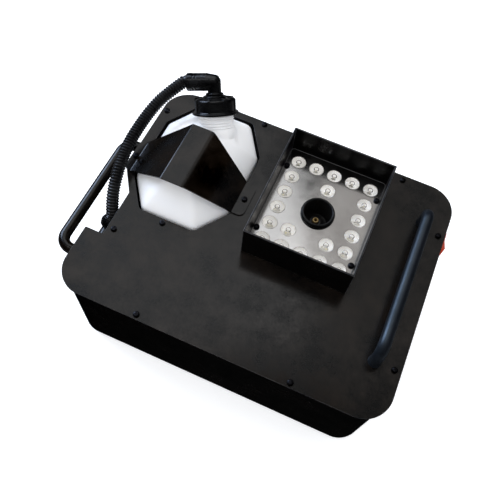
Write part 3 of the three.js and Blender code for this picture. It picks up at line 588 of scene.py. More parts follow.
# ------------------------------------------------------------------ case
def plate_outline(inset, steps=14):
    corner = PLATE["corner"] - inset
    low, right, back = inset, PLATE["width"] - inset, PLATE["depth"] - inset
    slant = Vector((NOTCH["slant_end"] - NOTCH["back"], NOTCH["right"])).normalized()

    def slant_y(x):
        return NOTCH["slant_end"] + (inset - slant.x * x) / slant.y

    edge = NOTCH["right"] + inset
    tip = 1.2
    return rounded([
        (low, low, corner), (right, low, corner), (right, back, corner), (low, back, corner),
        (low, slant_y(low), tip), (edge, slant_y(edge), tip),
        (edge, NOTCH["front"] - inset, tip), (low, NOTCH["front"] - inset, tip)], steps)


def well_corners(inset):
    dx, front_dy, back_dy = WELL_CHAMFER["dx"], WELL_CHAMFER["front_dy"], WELL_CHAMFER["back_dy"]
    left, right, front, back = WELL["left"], WELL["right"], WELL["front"], WELL["back"]
    # A chamfer's two ends move by less than the inset, so that its slope moves by all of it
    end, side = inset * 0.53, inset * 0.3
    return [
        (left + dx + end, front + inset), (right - dx - end, front + inset),
        (right - inset, front + front_dy + side), (right - inset, back - back_dy - side),
        (right - dx - end, back - inset), (left + dx + end, back - inset),
        (left + inset, back - back_dy - side), (left + inset, front + front_dy + side)]


def make_top_plate():
    opening = rounded([(x, y, 7.0) for x, y in well_corners(0)], 6)
    holes = [opening, circle(HOOD_MID.x, HOOD_MID.y, 22, 48)]
    plate = slab_object("top_plate_sheet", plate_outline(0), -PLATE["thick"], 0, holes)
    add_piece(plate, "plate+paint_edge", ["top_plate"], 0.45, 3)


def wall_window(bm, node, grow):
    """Cutter for the hole in the right wall behind a panel part."""
    low, high = box_mm(node)
    add_box(bm, (WALL_X - 8, low.y - grow, low.z - grow), (WALL_X + 8, high.y + grow, high.z + grow))


def make_body_shell():
    shell = slab_object("body_shell_sheet", plate_outline(OVERHANG, 18), CASE_LOW.z, CASE_HIGH.z,
                        [plate_outline(OVERHANG + SHEET, 18)])
    cutter = bmesh.new()
    wall_window(cutter, "rocker_bezel", -2.7)
    wall_window(cutter, "menu_panel", -6)
    wall_window(cutter, "power_inlet", -2.8)
    turn = Matrix.Rotation(math.pi / 2, 4, "Y")
    for node in ("data_socket_in", "data_socket_out"):
        low, high = box_mm(node)
        middle = (low + high) / 2
        place = Matrix.Translation((WALL_X, middle.y, middle.z)) @ turn
        add_lathe(cutter, [(0, -8), (11.8, -8), (11.8, 8), (0, 8)], 40, place)
    add_lathe(cutter, [(0, -6), (6.3, -6), (6.3, 5), (0, 5)], 32, gland_frame())
    for i in range(9):
        x = HOOD_MID.x + 11 * (i - 4)
        slot = bmesh.new()
        add_slab(slot, rectangle(x - 1.6, x + 1.6, -96, -46, 1.55, 5), -8, 8)
        upright = Matrix.Translation((0, CASE_HIGH.y, 0)) @ Matrix.Rotation(math.pi / 2, 4, "X")
        append_bmesh(cutter, slot, upright)
    cut_out(shell, cutter)
    add_piece(shell, "case+paint_edge", ["body_shell"], 0.4)


def make_bottom_plate():
    low, high = box_mm("bottom_plate")
    plate = slab_object("bottom_plate_sheet", plate_outline(OVERHANG + SHEET + GAP), low.z, high.z)
    add_piece(plate, "case+paint_edge", ["bottom_plate"], 0.35)


def make_feet():
    """Tapered rubber feet, each with a washer recess and a screw in the middle."""
    for node in (f"rubber_foot_{i + 1}" for i in range(4)):
        low, high = box_mm(node)
        middle = (low + high) / 2
        place = Matrix.Translation((middle.x, middle.y, low.z))
        radius, height = (high.x - low.x) / 2, high.z - low.z
        outline = rounded([
            (0, height, 0), (radius, height, 0.8), (radius - 0.6, 2.0, 1.2), (radius - 1.8, 0, 1.0),
            (5.6, 0, 0.6), (5.2, 3.2, 0.5), (0, 3.2, 0)], 5, closed=False)
        add_piece(lathe_object(node + "_moulding", outline, 48, place), "rubber", [node])
        head = rounded([(0, 3.0, 0), (3.6, 3.0, 0), (3.6, 1.9, 0.9), (0, 1.2, 0)], 5, closed=False)
        add_piece(lathe_object(node + "_screw", head, 24, place), "screw")


# ------------------------------------------------------------------ bottle and strap
def neck_frame():
    """Frame whose +z is the neck's axis and whose +x is the way the elbow's arm points."""
    flat = math.cos(NECK_ELEVATION)
    level = Vector((-math.cos(NECK_AZIMUTH), -math.sin(NECK_AZIMUTH), 0))
    axis = Vector((level.y * flat, -level.x * flat, math.sin(NECK_ELEVATION)))
    arm = Matrix.Rotation(ELBOW_SWIVEL, 3, axis) @ level
    turn = Matrix((arm, axis.cross(arm), axis)).transposed().to_4x4()
    return Matrix.Translation(NECK_BASE) @ turn


# Heights of the bottle's sections and how far each is set in, in millimetres
BOTTLE_LEVELS = [
    (-92.0, 9.0), (-91.2, 5.5), (-89.0, 2.2), (-86.0, 0.6), (-82.0, 0.0), (-40.0, 0.0), (-8.0, 0.0),
    (-4.4, 0.3), (-1.5, 1.5), (1.2, 3.4), (4.5, 6.2), (8.6, 10.2), (13.0, 14.6), (17.8, 19.8),
    (22.5, 25.2), (26.6, 30.4), (30.0, 35.6), (32.8, 40.6), (34.8, 45.0), (35.8, 49.0), (36.0, 53.0)]


def make_bottle():
    centre = Vector(((WELL["left"] + WELL["right"]) / 2, (WELL["front"] + WELL["back"]) / 2))
    clearance = 2.4
    half = Vector(((WELL["right"] - WELL["left"]) / 2 - clearance,
                   (WELL["back"] - WELL["front"]) / 2 - clearance))
    corners = well_corners(clearance)
    sections = []
    for z, inset in BOTTLE_LEVELS:
        scale_x, scale_y = (half.x - inset) / half.x, (half.y - inset) / half.y
        radius = 9 * scale_x + 3.0 * min(max((z + 4) / 20, 0), 1)
        outline = rounded([
            (centre.x + (x - centre.x) * scale_x, centre.y + (y - centre.y) * scale_y, radius)
            for x, y in corners], 7)
        sections.append([(p.x, p.y, z) for p in outline])
    bm = bmesh.new()
    add_loft(bm, sections)
    body = new_object("bottle_body", bm)

    neck = bmesh.new()
    profile = [(0, -12), (21.0, -12), (22.6, -6), (22.8, 0.0), (21.6, 3.6)]
    thread = [(20.2, 0), (20.9, 0.7), (21.2, 1.2), (20.9, 1.7), (20.2, 2.3)]
    for turn in range(5):
        profile += [(radius, 5.6 + 3.1 * turn + along) for radius, along in thread]
    profile += [(19.6, 32.5), (18.8, 33.2), (0, 33.2)]
    add_lathe(neck, profile, 96, neck_frame())
    join_with(body, neck)
    body.name = "fluid_bottle_moulding"
    add_piece(body, "bottle", ["fluid_bottle"], angle=50)


STRAP = {"left": 9.6, "right": 136.4, "ridge_left": 60.0, "ridge_right": 86.0,
         "height": 44.0, "sheet": 1.5}
STRAP_Y = {"mid": 180.5, "base": 22.5, "ridge": 40.5}


def strap_path():
    """The strap's mid surface in x and z, with a rounded bend at each fold."""
    sheet = STRAP["sheet"]
    low = GAP + sheet / 2
    high = STRAP["height"] - sheet / 2
    return rounded([
        (STRAP["left"] - 9.5, low, 0), (STRAP["left"], low, 3.5), (STRAP["ridge_left"], high, 2.6),
        (STRAP["ridge_right"], high, 11.0), (STRAP["right"], low, 2.0),
        (STRAP["right"] + 14.5, low, 0)], 6, closed=False)


def strap_half_width(x, ends):
    """Half the strap's width at x: narrow tabs with round corners, widest at the ridges."""
    base, ridge = STRAP_Y["base"], STRAP_Y["ridge"]
    if STRAP["left"] < x < STRAP["right"]:
        rise = (x - STRAP["left"]) / (STRAP["ridge_left"] - STRAP["left"])
        fall = (STRAP["right"] - x) / (STRAP["right"] - STRAP["ridge_right"])
        return base + (ridge - base) * min(rise, fall, 1.0)
    corner = 7.0
    from_end = min(x - ends[0], ends[1] - x)
    if from_end >= corner:
        return base
    return base - corner + math.sqrt(max(corner ** 2 - (corner - from_end) ** 2, 0))


def make_strap():
    path = strap_path()
    dense = []
    for a, b in zip(path, path[1:]):
        is_tab = a.y < 1.5 and b.y < 1.5
        pieces = 14 if is_tab else max(1, math.ceil((b - a).length / 4.0))
        dense += [a.lerp(b, k / pieces) for k in range(pieces)]
    dense.append(path[-1])
    ends = (dense[0].x, dense[-1].x)
    across = 16
    shares = [2 * k / across - 1 for k in range(across + 1)]
    sections = []
    for i, point in enumerate(dense):
        ahead = dense[min(i + 1, len(dense) - 1)] - dense[max(i - 1, 0)]
        normal = Vector((-ahead.y, ahead.x)).normalized() * STRAP["sheet"] / 2
        half = max(strap_half_width(point.x, ends), 15.0)
        top, under = [[(spot.x, STRAP_Y["mid"] + half * share, spot.y) for share in shares]
                      for spot in (point + normal, point - normal)]
        sections.append(top + under[::-1])
    bm = bmesh.new()
    add_loft(bm, sections)
    strap = new_object("bottle_strap_sheet", bm)
    add_piece(strap, "plate+paint_edge", ["bottle_strap"], 0.35, angle=50)


# ------------------------------------------------------------------ cap, elbow, hose and gland
CAP = {"start": 21.2, "height": 17.8, "radius": 23.2, "flange": 26.8,
       "ribs": 8, "rib_phase": 43, "rib_half": 1.35}
ELBOW = {"height": 56.8, "stem": 7.8, "arm": 10.7, "reach": 31.4}
HOSE_RADIUS = 7.4
GLAND = {"x": 12.8, "z": -29.1, "wall": 69.0, "bend": 94.0, "rise": 51.7,
         "nut_start": 4.0, "nut_end": 15.0}


def make_cap():
    """Screw cap: plain skirt with ribs that run over the shoulder, a flange and a stepped boss."""
    start, end = CAP["start"], CAP["start"] + CAP["height"]
    radius, flange = CAP["radius"], CAP["flange"]
    skirt = rounded([
        (20.8, start, 0), (flange, start, 0.7), (flange, start + 2.6, 1.0),
        (radius + 0.4, start + 3.6, 1.2), (radius, end - 1.0, 2.6), (17, end + 0.4, 1.5),
        (13.2, end + 0.5, 0.4), (13.2, end + 2.6, 0.7), (10.8, end + 2.8, 0.3), (10.6, end + 3.0, 0.1),
        (6.6, end + 3.0, 0.2), (6.6, start + 12.3, 0), (20.8, start + 12.3, 0)], 4)
    cap = lathe_object("bottle_cap_moulding", skirt, 96, neck_frame())
    side = rounded([
        (radius - 2.0, start + 1.5, 0), (radius + 1.3, start + 1.5, 0), (radius + 1.2, end + 0.1, 2.4),
        (15.6, end + 1.4, 0.6), (15.0, end - 1.0, 0)], 5, closed=False)
    half = CAP["rib_half"]
    ribs = bmesh.new()
    for i in range(CAP["ribs"]):
        angle = math.radians(CAP["rib_phase"] + 360 * i / CAP["ribs"])
        place = neck_frame() @ Matrix.Rotation(angle, 4, "Z")
        add_loft(ribs, [[place @ Vector((p.x, y, p.y)) for p in side] for y in (half, -half)])
    join_with(cap, ribs)
    add_piece(cap, "cap", ["bottle_cap"], 0.3, angle=40, body="cap")


def make_elbow():
    """Swivel elbow: stem with a collar, a bulb at the bend, and a clip-in mouth for the hose."""
    matrix = neck_frame()
    foot = CAP["start"] + 13
    top = CAP["start"] + CAP["height"] + 3 + GAP
    height, stem, arm, reach = ELBOW["height"], ELBOW["stem"], ELBOW["arm"], ELBOW["reach"]
    upright = rounded([
        (0, foot, 0), (stem - 1.6, foot, 0.5), (stem - 1.6, top, 0), (stem + 2.4, top, 0.5),
        (stem + 2.4, top + 2.0, 0.7), (stem, top + 3.0, 0.6), (stem, height + 3.4, 4.8),
        (stem * 0.45, height + 6.7, 2), (0, height + 6.8, 0)], 6, closed=False)
    elbow = lathe_object("cap_elbow_moulding", upright, 64, matrix)
    across = rounded([
        (0, -6.4, 0), (stem - 0.5, -6.4, 5.0), (arm - 1.85, 2, 5), (arm - 0.75, 8, 4),
        (arm - 0.6, reach - 5.0, 0.3), (arm - 0.35, reach - 4.6, 0.3), (arm - 0.35, reach - 2.6, 0.3),
        (arm - 0.6, reach - 2.2, 0.2), (arm - 0.4, reach, 0.8), (HOSE_RADIUS + 0.5, reach, 0.4),
        (HOSE_RADIUS + 0.4, reach - 1.6, 0.2), (0, reach - 1.8, 0)], 5, closed=False)
    arm_bm = bmesh.new()
    at_bend = matrix @ Matrix.Translation((0, 0, height))
    add_lathe(arm_bm, across, 64, at_bend @ Matrix.Rotation(math.pi / 2, 4, "Y"))
    join_with(elbow, arm_bm)
    windows = bmesh.new()
    for quarter in range(4):
        spin = Matrix.Rotation(math.radians(45 + 90 * quarter), 4, "X")
        for along in (reach - 12.5, reach - 8.8):
            slot = bmesh.new()
            add_box(slot, (along, -2.8, arm - 2.2), (along + 2.0, 2.8, arm + 3))
            append_bmesh(windows, slot, at_bend @ spin)
    cut_out(elbow, windows)
    add_piece(elbow, "cap", ["cap_elbow"], 0.3, angle=40)


def hose_route():
    """The hose's middle line from the elbow's mouth to the gland's nut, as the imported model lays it."""
    elbow, nut = neck_frame(), gland_nut_frame()
    mouth = [elbow @ Vector((ELBOW["reach"] + past, 0, ELBOW["height"])) for past in (GAP, 5)]
    end = [nut @ Vector((0, 0, GLAND["nut_end"] + past)) for past in (4, GAP)]
    return [
        *mouth, (13.6, 247.4, 42.8), (7.7, 236.2, 37.9), (3.9, 223.9, 33.7), (1.5, 210.9, 30.3),
        (0.1, 197.7, 27.5), (-0.5, 184.3, 25.1), (-0.2, 171, 22.5), (1, 157.9, 19.2), (2.7, 145, 15.1),
        (4.9, 132.8, 9.6), (7.4, 121.4, 2.5), (10.5, 111.7, -6.6), *end]


def make_hose():
    """Corrugated hose: rounded rings with narrow grooves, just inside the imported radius."""
    pitch, steps_per_ring, groove = 3.3, 8, 1.4
    line, length = even_line(catmull(hose_route(), 14), pitch / steps_per_ring)
    phases = [abs((i / steps_per_ring) % 1 - 0.5) * 2 for i in range(len(line))]
    bm = bmesh.new()
    add_sweep(bm, line, [HOSE_RADIUS - 0.1 - groove * phase ** 1.6 for phase in phases], 32)
    hose = new_object("hose_corrugated", bm)
    add_piece(hose, "hose", ["hose"], angle=80)


def gland_frame():
    """Frame at the recess's front wall whose +z points along the gland's body."""
    place = Matrix.Translation((GLAND["x"], GLAND["wall"], GLAND["z"]))
    return place @ Matrix.Rotation(-math.pi / 2, 4, "X")


def gland_nut_frame():
    """Frame at the gland's bend whose +z points out along the nut."""
    tilt = Matrix.Rotation(math.radians(GLAND["rise"] - 90), 4, "X")
    return Matrix.Translation((GLAND["x"], GLAND["bend"], GLAND["z"])) @ tilt


def make_gland():
    """Angled gland: hexagon against the wall, a bent body, and a ribbed nut on the hose."""
    matrix, nut_matrix = gland_frame(), gland_nut_frame()
    reach = GLAND["bend"] - GLAND["wall"]
    near, far = GLAND["nut_start"], GLAND["nut_end"]
    core = rounded([
        (0, -14, 0), (6, -14, 0.6), (6, GAP, 0), (8.6, GAP, 0), (8.6, 5.0, 0.4), (7.9, 5.6, 0.2),
        (7.9, reach, 0), (0, reach, 0)], 4, closed=False)
    sleeve = rounded([
        (0, 0, 0), (7.9, 0, 0), (7.9, near, 0), (9.9, near, 0.4), (10.1, far - 3.2, 2.0),
        (8.6, far - 0.05, 0.8), (0, far - 0.05, 0)], 4, closed=False)
    gland = lathe_object("hose_gland_moulding", core, 64, matrix)
    ball, hexagon, nut, grips = [bmesh.new() for _ in range(4)]
    bmesh.ops.create_uvsphere(ball, u_segments=48, v_segments=24, radius=7.9, matrix=nut_matrix)
    flats = [(0, GAP), (11.6, GAP), (11.6, 2.6), (11.0, 3.2), (0, 3.2)]
    add_lathe(hexagon, flats, 6, matrix, math.radians(30))
    add_lathe(nut, sleeve, 64, nut_matrix)
    for i in range(12):
        grip = bmesh.new()
        add_box(grip, (8.5, -1.0, near + 0.8), (10.7, 1.0, far - 3.0))
        append_bmesh(grips, grip, nut_matrix @ Matrix.Rotation(math.pi / 6 * i, 4, "Z"))
    for part in (ball, hexagon, nut, grips):
        join_with(gland, part)
    add_piece(gland, "cap", ["hose_gland"], 0.3, angle=30)


# ------------------------------------------------------------------ light hood
HOOD_SHEET = 1.8
LEDGE = {"z": 6.4, "thick": 1.8, "open_x": 109.0, "open_y": 132.0}
PANEL = {"z": 8.5, "thick": 1.8, "corner": 4.0}
LENS = {"radius": 8.4, "top": 12.9}
SHROUD = {"rim": 19.4, "tube": 17.4, "bore": 15.6, "top": 15.0, "floor": -14.0}
NOZZLE = {"boss": 7.0, "boss_top": -6.5, "radius": 3.7, "top": -3.4, "bore": 1.2}


def make_hood():
    """Open square box whose wall section, with the panel's ledge on it, runs round four corners."""
    half_x = (HOOD_HIGH.x - HOOD_LOW.x) / 2
    half_y = (HOOD_HIGH.y - HOOD_LOW.y) / 2
    top = HOOD_HIGH.z
    ledge_x, ledge_y = LEDGE["open_x"] / 2, LEDGE["open_y"] / 2
    wall_x, wall_y = half_x - HOOD_SHEET, half_y - HOOD_SHEET
    upper, lower = LEDGE["z"] + LEDGE["thick"], LEDGE["z"]
    section = [
        (half_x, half_y, GAP), (half_x, half_y, top), (wall_x, wall_y, top), (wall_x, wall_y, upper),
        (ledge_x, ledge_y, upper), (ledge_x, ledge_y, lower), (wall_x, wall_y, lower),
        (wall_x, wall_y, GAP)]
    bm = bmesh.new()
    corners = ((-1, -1), (1, -1), (1, 1), (-1, 1))
    add_loft(bm, [[(HOOD_MID.x + sx * x, HOOD_MID.y + sy * y, z) for x, y, z in section]
                  for sx, sy in corners], is_loop=True)
    hood = new_object("light_hood_sheet", bm)
    add_piece(hood, "case+paint_edge", ["light_hood"], 0.6, 3)


def led_places():
    """Middles of the lights: the outer ring of a 5 by 6 grid, and three more inside it."""
    inner = {(2, 1), (1, 4), (3, 4)}
    places = []
    for row in range(6):
        for column in range(5):
            if row in (0, 5) or column in (0, 4) or (column, row) in inner:
                x, y = (column - 2) * LED_PITCH, (2.5 - row) * LED_PITCH
                places.append((HOOD_MID.x + x, HOOD_MID.y + y))
    return places


def make_led_panel():
    """Mirror sheet with a hole for each lens, and the sheared rim that runs round it."""
    low, high = box_mm("led_panel")

    def inset(lip, gap=0.0):
        return rectangle(low.x + lip + gap, high.x - lip - gap, low.y + lip + gap, high.y - lip - gap,
                         PANEL["corner"] - lip, 8)

    lip = 0.55
    holes = [circle(x, y, LENS["radius"] + GAP, 40) for x, y in led_places()]
    holes.append(circle(HOOD_MID.x, HOOD_MID.y, SHROUD["tube"] + GAP, 64))
    panel = slab_object("led_panel_sheet", inset(lip, 0.02), low.z, high.z - 0.1, holes)
    add_piece(panel, "reflector", ["led_panel"], 0.25)
    rim = slab_object("led_panel_rim", inset(0), low.z, high.z, [inset(lip)])
    add_piece(rim, "cut_edge", edge=0.2)


def make_lenses():
    """One clear dome over each light, thin at the rim, with a dimple under its middle."""
    radius, top = LENS["radius"] - 0.1, LENS["top"]
    face = PANEL["z"] + PANEL["thick"]
    dome = rounded([
        (0, top, 0), (radius * 0.42, top - 0.12, 4), (radius * 0.84, face + 1.35, 3),
        (radius - 0.5, face + 0.5, 0.7), (radius, face + 0.35, 0.3), (radius, face - 0.9, 0.2),
        (2.9, face - 0.9, 0.3), (2.3, face + 0.5, 0.6), (0, face + 0.9, 0)], 6, closed=False)
    bm = bmesh.new()
    for x, y in led_places():
        add_lathe(bm, dome, 40, Matrix.Translation((x, y, 0)))
    add_piece(new_object("lens_array_moulding", bm), "lens", ["lens_array"], angle=40)


def make_lens_cups():
    """Pearly bowl under each dome, in three steps, with a hole for the chip."""
    face = PANEL["z"] + PANEL["thick"]
    wall = 0.4
    steps = [(8.15, face - 1.2), (7.4, 7.4), (6.7, 6.7), (5.6, 5.5), (5.0, 5.2), (3.9, 3.5), (3.3, 3.4)]
    under = [(r + wall, z - wall * 0.4) for r, z in reversed(steps[1:])]
    bm = bmesh.new()
    for x, y in led_places():
        add_lathe(bm, steps + under + steps[:1], 40, Matrix.Translation((x, y, 0)))
    bmesh.ops.remove_doubles(bm, verts=bm.verts, dist=1e-4)
    add_piece(new_object("lens_cups", bm), "cup", angle=50)


def make_led_board():
    """White board under the panel with one chip of four dies below each lens."""
    low, high = box_mm("led_board")
    face = low.z + 1.5
    outline = rectangle(low.x, high.x, low.y, high.y, 2.0, 4)
    hole = circle(HOOD_MID.x, HOOD_MID.y, 20.4, 48)
    board = slab_object("led_board_sheet", outline, low.z, face, [hole])
    add_piece(board, "led_board", ["led_board"], 0.15, 1)
    chips = bmesh.new()
    for x, y in led_places():
        add_box(chips, (x - 2.6, y - 2.6, face), (x + 2.6, y + 2.6, low.z + 2.3))
        for dx, dy in ((-1, -1), (1, -1), (1, 1), (-1, 1)):
            add_box(chips, (x + dx * 1.1 - 0.8, y + dy * 1.1 - 0.8, low.z + 2.32),
                    (x + dx * 1.1 + 0.8, y + dy * 1.1 + 0.8, low.z + 2.75))
    add_piece(new_object("led_chips", chips), "emitter", edge=0.08, segments=1)


def make_shroud():
    rim, tube, bore = SHROUD["rim"], SHROUD["tube"], SHROUD["bore"]
    top, floor = SHROUD["top"], SHROUD["floor"]
    seat = PANEL["z"] + PANEL["thick"] + GAP
    boss, boss_top = NOZZLE["boss"], NOZZLE["boss_top"]
    hole = NOZZLE["radius"] + GAP
    outline = rounded([
        (hole, floor - 2, 0.2), (tube, floor - 2, 0.8), (tube, seat, 0), (rim, seat, 0.4),
        (rim, seat + 1.6, 0.3), (rim - 0.5, seat + 1.9, 0.2), (rim - 0.7, top, 1.5),
        (bore + 0.5, top, 1.2), (bore, top - 2.4, 0.6), (bore, floor, 2.4), (boss + 1.0, floor, 1.6),
        (boss, boss_top, 1.0), (hole, boss_top, 0.3)], 5)
    place = Matrix.Translation((HOOD_MID.x, HOOD_MID.y, 0))
    shroud = lathe_object("nozzle_shroud_moulding", outline, 96, place)
    add_piece(shroud, "shroud", ["nozzle_shroud"], angle=40)


def make_nozzle():
    radius, top, bore = NOZZLE["radius"], NOZZLE["top"], NOZZLE["bore"]
    shoulder = SHROUD["floor"] - 4
    outline = rounded([
        (bore, -22, 0), (2.6, -22, 0.3), (2.6, shoulder, 0.2), (radius, shoulder + 1, 0.2),
        (radius, top - 1.6, 0.2), (radius - 0.25, top - 1.4, 0.1), (radius - 0.25, top, 0.5),
        (bore + 1.1, top, 0.3), (bore, top - 1.3, 0.3)], 4)
    place = Matrix.Translation((HOOD_MID.x, HOOD_MID.y, 0))
    nozzle = lathe_object("nozzle_tip_turned", outline, 48, place)
    add_piece(nozzle, "brass", ["nozzle_tip"], angle=40)


# ------------------------------------------------------------------ handles
def bent_bar(near, far, reach, bend, place):
    """Centre line of a bar with a leg at each end: `place` puts (y, out) into space."""
    steps = 14
    turns = [math.pi / 2 * i / steps for i in range(steps + 1)]
    crest = reach - bend
    flat = [(near, 0), (near, crest)]
    flat += [(near + bend - bend * math.cos(a), crest + bend * math.sin(a)) for a in turns[1:]]
    flat += [(far - bend + bend * math.cos(a), crest + bend * math.sin(a)) for a in reversed(turns)]
    flat.append((far, 0))
    return [Vector(place(y, out)) for y, out in flat]


HANDLE = {"radius": 6.5, "bend": 15, "bead": 0.75, "bead_length": 1.6}


def make_handle(node, near, far, reach, place, paint):
    """Bent tube with a small weld bead where each leg meets the sheet."""
    line, length = even_line(bent_bar(near, far, reach, HANDLE["bend"], place), 1.2)
    step = length / (len(line) - 1)
    radii = []
    for i in range(len(line)):
        from_end = min(i, len(line) - 1 - i) * step
        swell = max(0.0, 1 - (from_end / HANDLE["bead_length"]) ** 2)
        radii.append(HANDLE["radius"] + HANDLE["bead"] * math.sqrt(swell))
    bm = bmesh.new()
    add_sweep(bm, line, radii, 36)
    add_piece(new_object(node + "_bar", bm), paint, [node], angle=60)


def make_handles():
    left_low, left_high = box_mm("left_handle")
    left_z = (left_low.z + left_high.z) / 2
    wall = OVERHANG - GAP
    # Both handles are one paint: the left takes the plate's darker coat, the right the bluish coat that
    # paints its sheen.
    make_handle("left_handle", 54, 212, 33, lambda y, out: (wall - out, y, left_z), "plate")
    right_low, right_high = box_mm("right_handle")
    right_x = (right_low.x + right_high.x) / 2
    make_handle("right_handle", 61.5, 240.5, 29, lambda y, out: (right_x, y, GAP + out), "tube")


# ------------------------------------------------------------------ switch, sockets and menu
def facing_right(y, z):
    """Frame on the right wall: its x runs along -y, its y up and its z out of the wall."""
    turn = Matrix(((0, 0, 1), (-1, 0, 0), (0, 1, 0))).to_4x4()
    return Matrix.Translation((WALL_X + GAP, y, z)) @ turn


def on_wall(node):
    """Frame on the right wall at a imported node's middle, and the node's size."""
    low, high = box_mm(node)
    middle = (low + high) / 2
    return facing_right(middle.y, middle.z), high - low


def panel_mesh(matrix, *slabs):
    """Slabs in a panel's frame as one mesh; each is an outline, two heights and perhaps its holes."""
    bm = bmesh.new()
    for slab in slabs:
        flat = bmesh.new()
        add_slab(flat, *slab)
        append_bmesh(bm, flat, matrix)
    return bm


def panel_rod(bm, matrix, x, y, radius, z0, z1, chamfer):
    outline = [(0, z0), (radius, z0), (radius, z1 - chamfer), (radius - chamfer, z1), (0, z1)]
    add_lathe(bm, outline, 20, matrix @ Matrix.Translation((x, y, 0)))


def make_rocker():
    matrix, size = on_wall("rocker_bezel")
    hole = rectangle(-13, 13, -9.5, 9.5, 1.2, 4)
    rim = rectangle(-size.y / 2, size.y / 2, -size.z / 2, size.z / 2, 2.0, 5)
    sleeve = rectangle(-14, 14, -10.4, 10.4, 1.5, 4)
    bm = panel_mesh(matrix, (rim, 0, 2.0, [hole]), (sleeve, -12, 0.05, [hole]), (sleeve, -22, -12.05))
    add_piece(new_object("rocker_bezel_moulding", bm), "panel", ["rocker_bezel"], 0.3)

    half, width, proud, tilt = 12.0, 17.8, 3.1, math.radians(9)
    face = rounded([
        (-9, -6, 0), (-1, -half + 0.6, 1.0), (3.4, -half + 0.6, 0.5), (5.0, -half + 1.4, 0.5),
        (3.6, 0, 12), (5.0, half - 1.4, 0.5), (3.4, half - 0.6, 0.5), (-1, half - 0.6, 1.0),
        (-9, 6, 0)], 6)
    pivot = Matrix.Translation(matrix.translation + Vector((proud, 0, 0)))
    place = pivot @ Matrix.Rotation(tilt, 4, "Z")
    rocker = slab_object("power_rocker_moulding", face, -width / 2, width / 2, matrix=place)
    add_piece(rocker, "rocker", ["power_rocker"], 0.5, 3, body="rocker")


def make_data_socket(node, male):
    """Round three-pole socket in a square flange with two screws."""
    matrix, _ = on_wall(node)
    depth = 13.0 if male else 8.0
    flange = rectangle(-13, 13, -15.5, 15.5, 2.2, 5)
    bm = panel_mesh(matrix, (flange, 0, 2.4, [circle(0, 0, 9.0, 48)]))
    ring = rounded([(9.0, 2.3, 0), (9.9, 2.3, 0), (9.9, 2.39, 0), (9.0, 2.39, 0)], 1)
    add_lathe(bm, [*ring, ring[0]], 48, matrix)
    barrel = [(9.0, 2.0), (9.0, 2.4 - depth), (0, 2.4 - depth), (0, -20), (11.4, -20), (11.4, -0.05),
              (9.02, -0.05)]
    add_lathe(bm, barrel, 48, matrix)
    bmesh.ops.remove_doubles(bm, verts=bm.verts, dist=1e-4)
    add_piece(new_object(node + "_moulding", bm), "panel", [node], 0.25)
    pins = bmesh.new()
    angles = [math.radians(degrees) for degrees in (90, 210, 330)]
    places = [(4.6 * math.cos(a), 4.6 * math.sin(a)) for a in angles]
    for x, y in places:
        if male:
            panel_rod(pins, matrix, x, y, 1.2, 2.4 - depth, -3.2, 0.5)
        else:
            panel_rod(pins, matrix, x, y, 1.15, -5.4, -1.2, 0.2)
    if not male:
        holes = [circle(x, y, 1.5, 20) for x, y in places]
        insert = panel_mesh(matrix, (circle(0, 0, 7.9, 48), 2.45 - depth, 0.6, holes))
        add_piece(new_object(node + "_insert", insert), "shroud", edge=0.3)
    add_piece(new_object(node + "_pins", pins), "pin")
    add_countersunk(node + "_screw_a", matrix, -10.0, 12.4, 2.4)
    add_countersunk(node + "_screw_b", matrix, 10.0, -12.4, 2.4)


def make_data_sockets():
    make_data_socket("data_socket_in", True)
    make_data_socket("data_socket_out", False)


def add_cross(bm, long, half, z0, z1):
    """Plus-shaped cutter for a screw's cross recess."""
    corners = []
    for quarter in range(4):
        turn = Matrix.Rotation(math.pi / 2 * quarter, 2)
        for x, y in ((half, half), (half, long), (-half, long)):
            corners.append(turn @ Vector((x, y)))
    add_slab(bm, corners, z0, z1)


def add_countersunk(name, matrix, x, y, face, radius=1.9):
    """Small cross-head screw whose face is just proud of the flange."""
    place = matrix @ Matrix.Translation((x, y, face))
    outline = rounded([(0, 0.02, 0), (radius, 0.02, 0), (radius, 0.2, 0.15), (0, 0.45, 0)], 3,
                      closed=False)
    head = lathe_object(name, outline, 28, place)
    cross = bmesh.new()
    add_cross(cross, radius * 0.62, 0.28, 0.14, 1.5)
    cross.transform(place)
    cut_out(head, cross)
    add_piece(head, "screw")


def make_latch():
    low, high = box_mm("socket_latch")
    outline = rounded([(low.x, low.z, 0.3), (high.x, low.z, 0.5), (high.x, high.z, 1.4),
                       (low.x, high.z, 0.3)], 5)
    upright = Matrix.Translation((0, (low.y + high.y) / 2, 0)) @ Matrix.Rotation(math.pi / 2, 4, "X")
    latch = slab_object("socket_latch_press", outline, -2.6, 2.6, matrix=upright)
    add_piece(latch, "zinc", ["socket_latch"], 0.25, body="latch")


